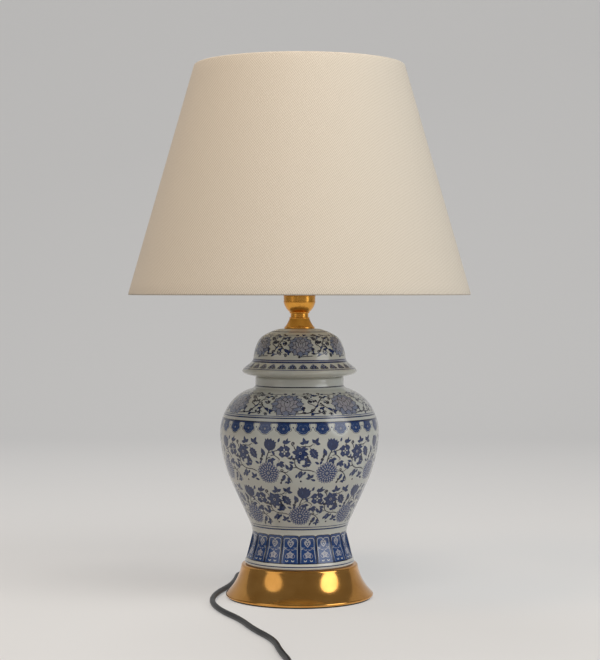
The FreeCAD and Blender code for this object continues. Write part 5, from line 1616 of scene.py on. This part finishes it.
def glaze(name: str, white: Colour, warm: Colour) -> bpy.types.Material:
    """Cobalt painting under a clear glaze.

    The tone that each face carries is let run a little by a fine noise, then read as a colour.
    """
    shader = Shader(name)
    tone = shader.attribute("cobalt")
    run = (shader.noise(340.0, 4.0) - 0.5) * 0.34 + (shader.noise(60.0, 2.0) - 0.5) * 0.12
    tone = (tone + run * shader.eased(tone, 0.02, 0.3)).held()
    cloud = shader.eased(shader.noise(18.0, 2.0), 0.35, 0.65)
    body = shader.mix(cloud, white, warm)
    blue = shader.ramp(tone, (0.0, paint("A9B0B8")), (0.2, paint("A29FA6")), (0.4, paint("75819A")),
                       (0.6, paint("234880")), (0.82, paint("0B265A")), (1.0, paint("07102F")))
    ripple = shader.bump(shader.noise(42.0, 2.0), 0.00004)
    return shader.surface(
        Base_Color=shader.mix(shader.eased(tone, 0.02, 0.14), body, blue), Roughness=0.16,
        IOR=1.5, Coat_Weight=0.4, Coat_Roughness=0.03, Normal=ripple)


Courses = tuple[Hoop | Frieze, ...]
JAR_GLAZE = glaze("porcelain_jar", paint("CCCEC6"), paint("D0CEC4"))
LID_GLAZE = glaze("porcelain_lid", paint("CFD0C6"), paint("D2CFC2"))


@dataclass
class Porcelain:
    """The jar and its lid: blue painting under a clear glaze.

    The inside of the jar follows its outside between wall_low and wall_high, on every
    wall_thinning-th of its points.
    """

    jar: Outline = ((64.9, 42.2), (64.6, 45), (58.2, 61.8), (58.9, 89.1, Run.SMOOTH),
                    (80.2, 135.5), (94.2, 188.9, Run.SMOOTH), (84.6, 226.9, Run.SMOOTH),
                    (56.3, 247.5, Run.SMOOTH), (52.5, 251.3, Run.SMOOTH), (52.5, 259.3))
    jar_mouth: Outline = ((52.5, 259.3), (50.9, 261.3, 2.0), (48.5, 261.3))
    jar_foot: Outline = ((52.6, 52), (6.5, 52), (6.5, 47), (54.6, 47), (56.6, 40), (62.6, 40),
                         (64.9, 42.2, 2.4))
    jar_wall: float = 4.0
    wall_low: float = 62.0
    wall_high: float = 257.0
    wall_thinning: int = 14
    lid: Outline = ((68.3, 268.1), (67, 270.7, 1.9), (58.1, 277.9), (55, 283.6, Run.SMOOTH),
                    (49.8, 302, Run.SMOOTH), (42.5, 310.2, Run.SMOOTH), (26.5, 317.3, Run.SMOOTH),
                    (20.5, 318.2, Run.SMOOTH))
    lid_rest: Outline = ((20.5, 318.2), (5.6, 318.2), (5.6, 314.2), (25, 312.8),
                         (39.3, 305.9, 30.0), (43.7, 291.3, 40.0), (43.7, 251.7), (47.7, 251.7),
                         (47.7, 261.3), (53.3, 261.3), (63, 263.9), (68.3, 268.1, 6.5))
    jar_courses: Courses = (
        Hoop(43.4), Hoop(44.6, Tone.FULL), Hoop(46.0),
        Frieze(80.8, 18, 10, 9.5, panel_picture),
        Hoop(85.9), Hoop(87.6, Tone.FULL), Hoop(89.2), Hoop(90.1, Tone.FULL), Hoop(90.9),
        Frieze(141.2, 7, 24, 0.4, belly_picture(103.4, 0.9), BELLY_INSET),
        Hoop(142.2),
        Frieze(196.4, 8, 21, -24.0, belly_picture(154.6, 1.0), BELLY_INSET),
        Hoop(197.2),
        Frieze(213.8, 26, 7, 2.6, lappet_picture),
        Hoop(216.9), Hoop(218.4, Tone.FULL), Hoop(219.4), Hoop(220.2, Tone.BAND), Hoop(220.6),
        Frieze(249.4, 7, 24, -10.2, scroll_picture(36.0, 0.86, 233.4, 221.9, 14.8), 19.0),
        Hoop(250.1), Hoop(251.3, Tone.LINE), Hoop(259.3))
    lid_courses: Courses = (
        Hoop(271.0), Hoop(271.8, Tone.FULL), Hoop(272.1),
        Frieze(278.2, 31, 5, 4.0, border_picture),
        Hoop(278.9), Hoop(280.5, Tone.FULL), Hoop(281.6, Tone.MIST), Hoop(282.7, Tone.FULL),
        Hoop(283.0),
        Frieze(313.9, 6, 22, 1.5, scroll_picture(28.6, 0.92, 299.8, 286.2, 13.2), 15.3),
        Hoop(314.2), Hoop(315.1, Tone.FULL), Hoop(318.2))

    def build(self) -> None:
        """Makes both pieces and sets them on the stand."""
        skin = Skin(self.jar)
        height = skin.rows[:, 1]
        wall = skin.rows[(height > self.wall_low) & (height < self.wall_high)][::-self.wall_thinning]
        rest = np.vstack([trace(self.jar_mouth, 0.6)[:, :2],
                          wall[:, :2] + self.jar_wall * left_of(wall[:, 2:]),
                          trace(self.jar_foot, 0.6)[:, :2]])
        jar = glazed("jar_painted", skin, self.jar[0][1], self.jar_courses, rest)
        ridden(jar, "stand", "porcelain_jar", JAR_GLAZE, "jar")
        lid = glazed("lid_painted", Skin(self.lid), self.lid[0][1], self.lid_courses,
                     trace(self.lid_rest, 2.0)[:, :2])
        ridden(lid, "stand", "porcelain_lid", LID_GLAZE, "lid")




# --- stage: floor, backdrop, lights and camera ---------------------------------------------------


@dataclass(frozen=True)
class SoftBox:
    """An oval soft light that looks at the lamp's axis, in metres and watts.

    azimuth is in degrees from the front to the lamp's right, far the distance from the axis, aim
    the height that it looks at, and mirrored says whether gloss shows it.
    """

    name: str
    azimuth: float
    height: float
    far: float
    size: tuple[float, float]
    watts: float
    colour: Colour
    aim: float
    mirrored: bool = False

    def hang(self) -> None:
        """Puts the light in its place."""
        data = bpy.data.lights.new(self.name, "AREA")
        data.shape = "ELLIPSE"
        data.size, data.size_y = self.size
        data.energy, data.color = self.watts, self.colour
        box = placed(self.name, data)
        box.visible_glossy = self.mirrored
        turn = math.radians(self.azimuth)
        box.location = (self.far * math.sin(turn), -self.far * math.cos(turn), self.height)
        way = Vector((0.0, 0.0, self.aim)) - box.location
        box.rotation_euler = way.to_track_quat("-Z", "Y").to_euler()


@dataclass
class Stage:
    """Pale floor and backdrop, soft boxes and the camera.

    The camera's lengths are in the photograph's pixels and in millimetres, the floor's in metres.
    """

    wide_side: float = 600.0
    long_side: float = 660.0
    focal: float = 1740.0
    distance: float = 2069.0
    eye: float = 362.7
    horizon_row: float = 291.0
    axis_column: float = 299.5
    floor_near: float = -6.0
    floor_far: float = 2.2
    cove: float = 1.2
    wall_top: float = 7.0
    half_width: float = 7.0
    glow: float = 0.34
    boxes: tuple[SoftBox, ...] = (
        SoftBox("box_right", 61, 1.05, 2.2, (1.45, 1.9), 16.5, (0.96, 0.98, 1.0), 0.2, True),
        SoftBox("box_left", -53, 1.05, 2.2, (1.45, 1.9), 5.0, (1.0, 0.97, 0.93), 0.2, True),
        SoftBox("box_key", 26, 2.5, 1.5, (1.9, 1.0), 31.0, (1.0, 0.96, 0.90), 0.5),
        SoftBox("box_warm", -50, 2.3, 1.3, (0.9, 0.9), 14.0, (1.0, 0.74, 0.50), 0.55),
        SoftBox("box_rear", 200, 2.3, 1.6, (1.2, 0.8), 14.0, (1.0, 1.0, 1.0), 0.5))

    def make_camera(self) -> None:
        """The camera at the photograph's angle, level, its frame moved down to take in the foot."""
        data = bpy.data.cameras.new("camera")
        data.sensor_width = 36.0
        data.lens = self.focal / self.long_side * data.sensor_width
        data.shift_x = (self.wide_side / 2 - self.axis_column) / self.long_side
        data.shift_y = (self.horizon_row - self.long_side / 2) / self.long_side
        data.clip_start, data.clip_end = 0.05, 60.0
        camera = placed("camera", data)
        camera.location = (0.0, -self.distance * MM, self.eye * MM)
        camera.rotation_euler = (math.pi / 2, 0.0, 0.0)
        bpy.context.scene.camera = camera

    def backing(self, name: str, shade: Colour) -> bpy.types.Material:
        """A matt paint that the camera, metal and glass see paler than it lights the lamp."""
        s = Shader(name)
        seen = s.node("ShaderNodeLightPath", out="Is Camera Ray")
        for ray in ("Is Glossy Ray", "Is Transmission Ray"):
            seen = seen.maths("MAXIMUM", s.node("ShaderNodeLightPath", out=ray))
        colour = s.mix(s.noise(3.0), shade, tuple(c * 0.97 for c in shade))
        matt = s.node("ShaderNodeBsdfDiffuse", None, {"Color": colour})
        glow = s.node("ShaderNodeEmission", None,
                      {"Color": (1.0, 1.0, 1.0), "Strength": seen * self.glow})
        return s.output(s.node("ShaderNodeAddShader", None, {0: matt, 1: glow}))

    def make_floor(self) -> None:
        """A floor that curves up into the backdrop: flat, a quarter circle, then upright."""
        bend = np.linspace(0, math.pi / 2, 24)
        cove = self.cove * np.stack([np.sin(bend), 1 - np.cos(bend)], axis=1)
        line = np.vstack([[[self.floor_near, 0.0], [self.floor_far, 0.0]],
                          cove + (self.floor_far, 0.0),
                          [[self.floor_far + self.cove, self.wall_top]]])
        across = np.array([-self.half_width, self.half_width])
        points = np.stack([np.repeat(across[:, None], len(line), 1),
                           np.tile(line[:, 0], (2, 1)), np.tile(line[:, 1], (2, 1))], axis=-1)
        floor = grid("floor", points / MM, sharp=60.0)
        floor.data.materials.append(self.backing("studio_paint", (0.40, 0.395, 0.385)))

    def build(self) -> None:
        """Sets the stage."""
        self.make_camera()
        self.make_floor()
        for box in self.boxes:
            box.hang()
        world = bpy.data.worlds.new("studio")
        world.use_nodes = True
        back = world.node_tree.nodes["Background"]
        back.inputs["Color"].default_value = (0.93, 0.95, 1.0, 1.0)
        back.inputs["Strength"].default_value = 0.2
        bpy.context.scene.world = world
        bpy.context.scene.view_settings.view_transform = "Standard"


# --- the whole lamp ------------------------------------------------------------------------------


def dress_the_rest() -> None:
    """Gives the CAD pieces that keep their shape a finish."""
    dressed(STEEL.build(), "base_washer", "base_nut", "threaded_rod", "cap_screw",
            "terminal_screws", "switch_shaft", "finial_insert")
    dressed(CARD.build(), "shell_liner")
    dressed(MOULDING_BLACK, "socket_core", "bulb_insulator")
    dressed(ALLOY_METAL, "bulb_contact")
    dressed(LEADS.build(), "lead_wires")
    dressed(BOARD.build(), "light_board")


def main() -> None:
    """Builds the lamp around its frame, piece by piece, and sets the stage."""
    logging.basicConfig(level=logging.INFO, format="%(message)s")
    for part in (Stage(), Mains(), Porcelain(), Foot(), Neck(), Holder(), Bulb(), Finial(),
                 Shade()):
        part.build()
    dress_the_rest()


if __name__ == "__main__":
    main()
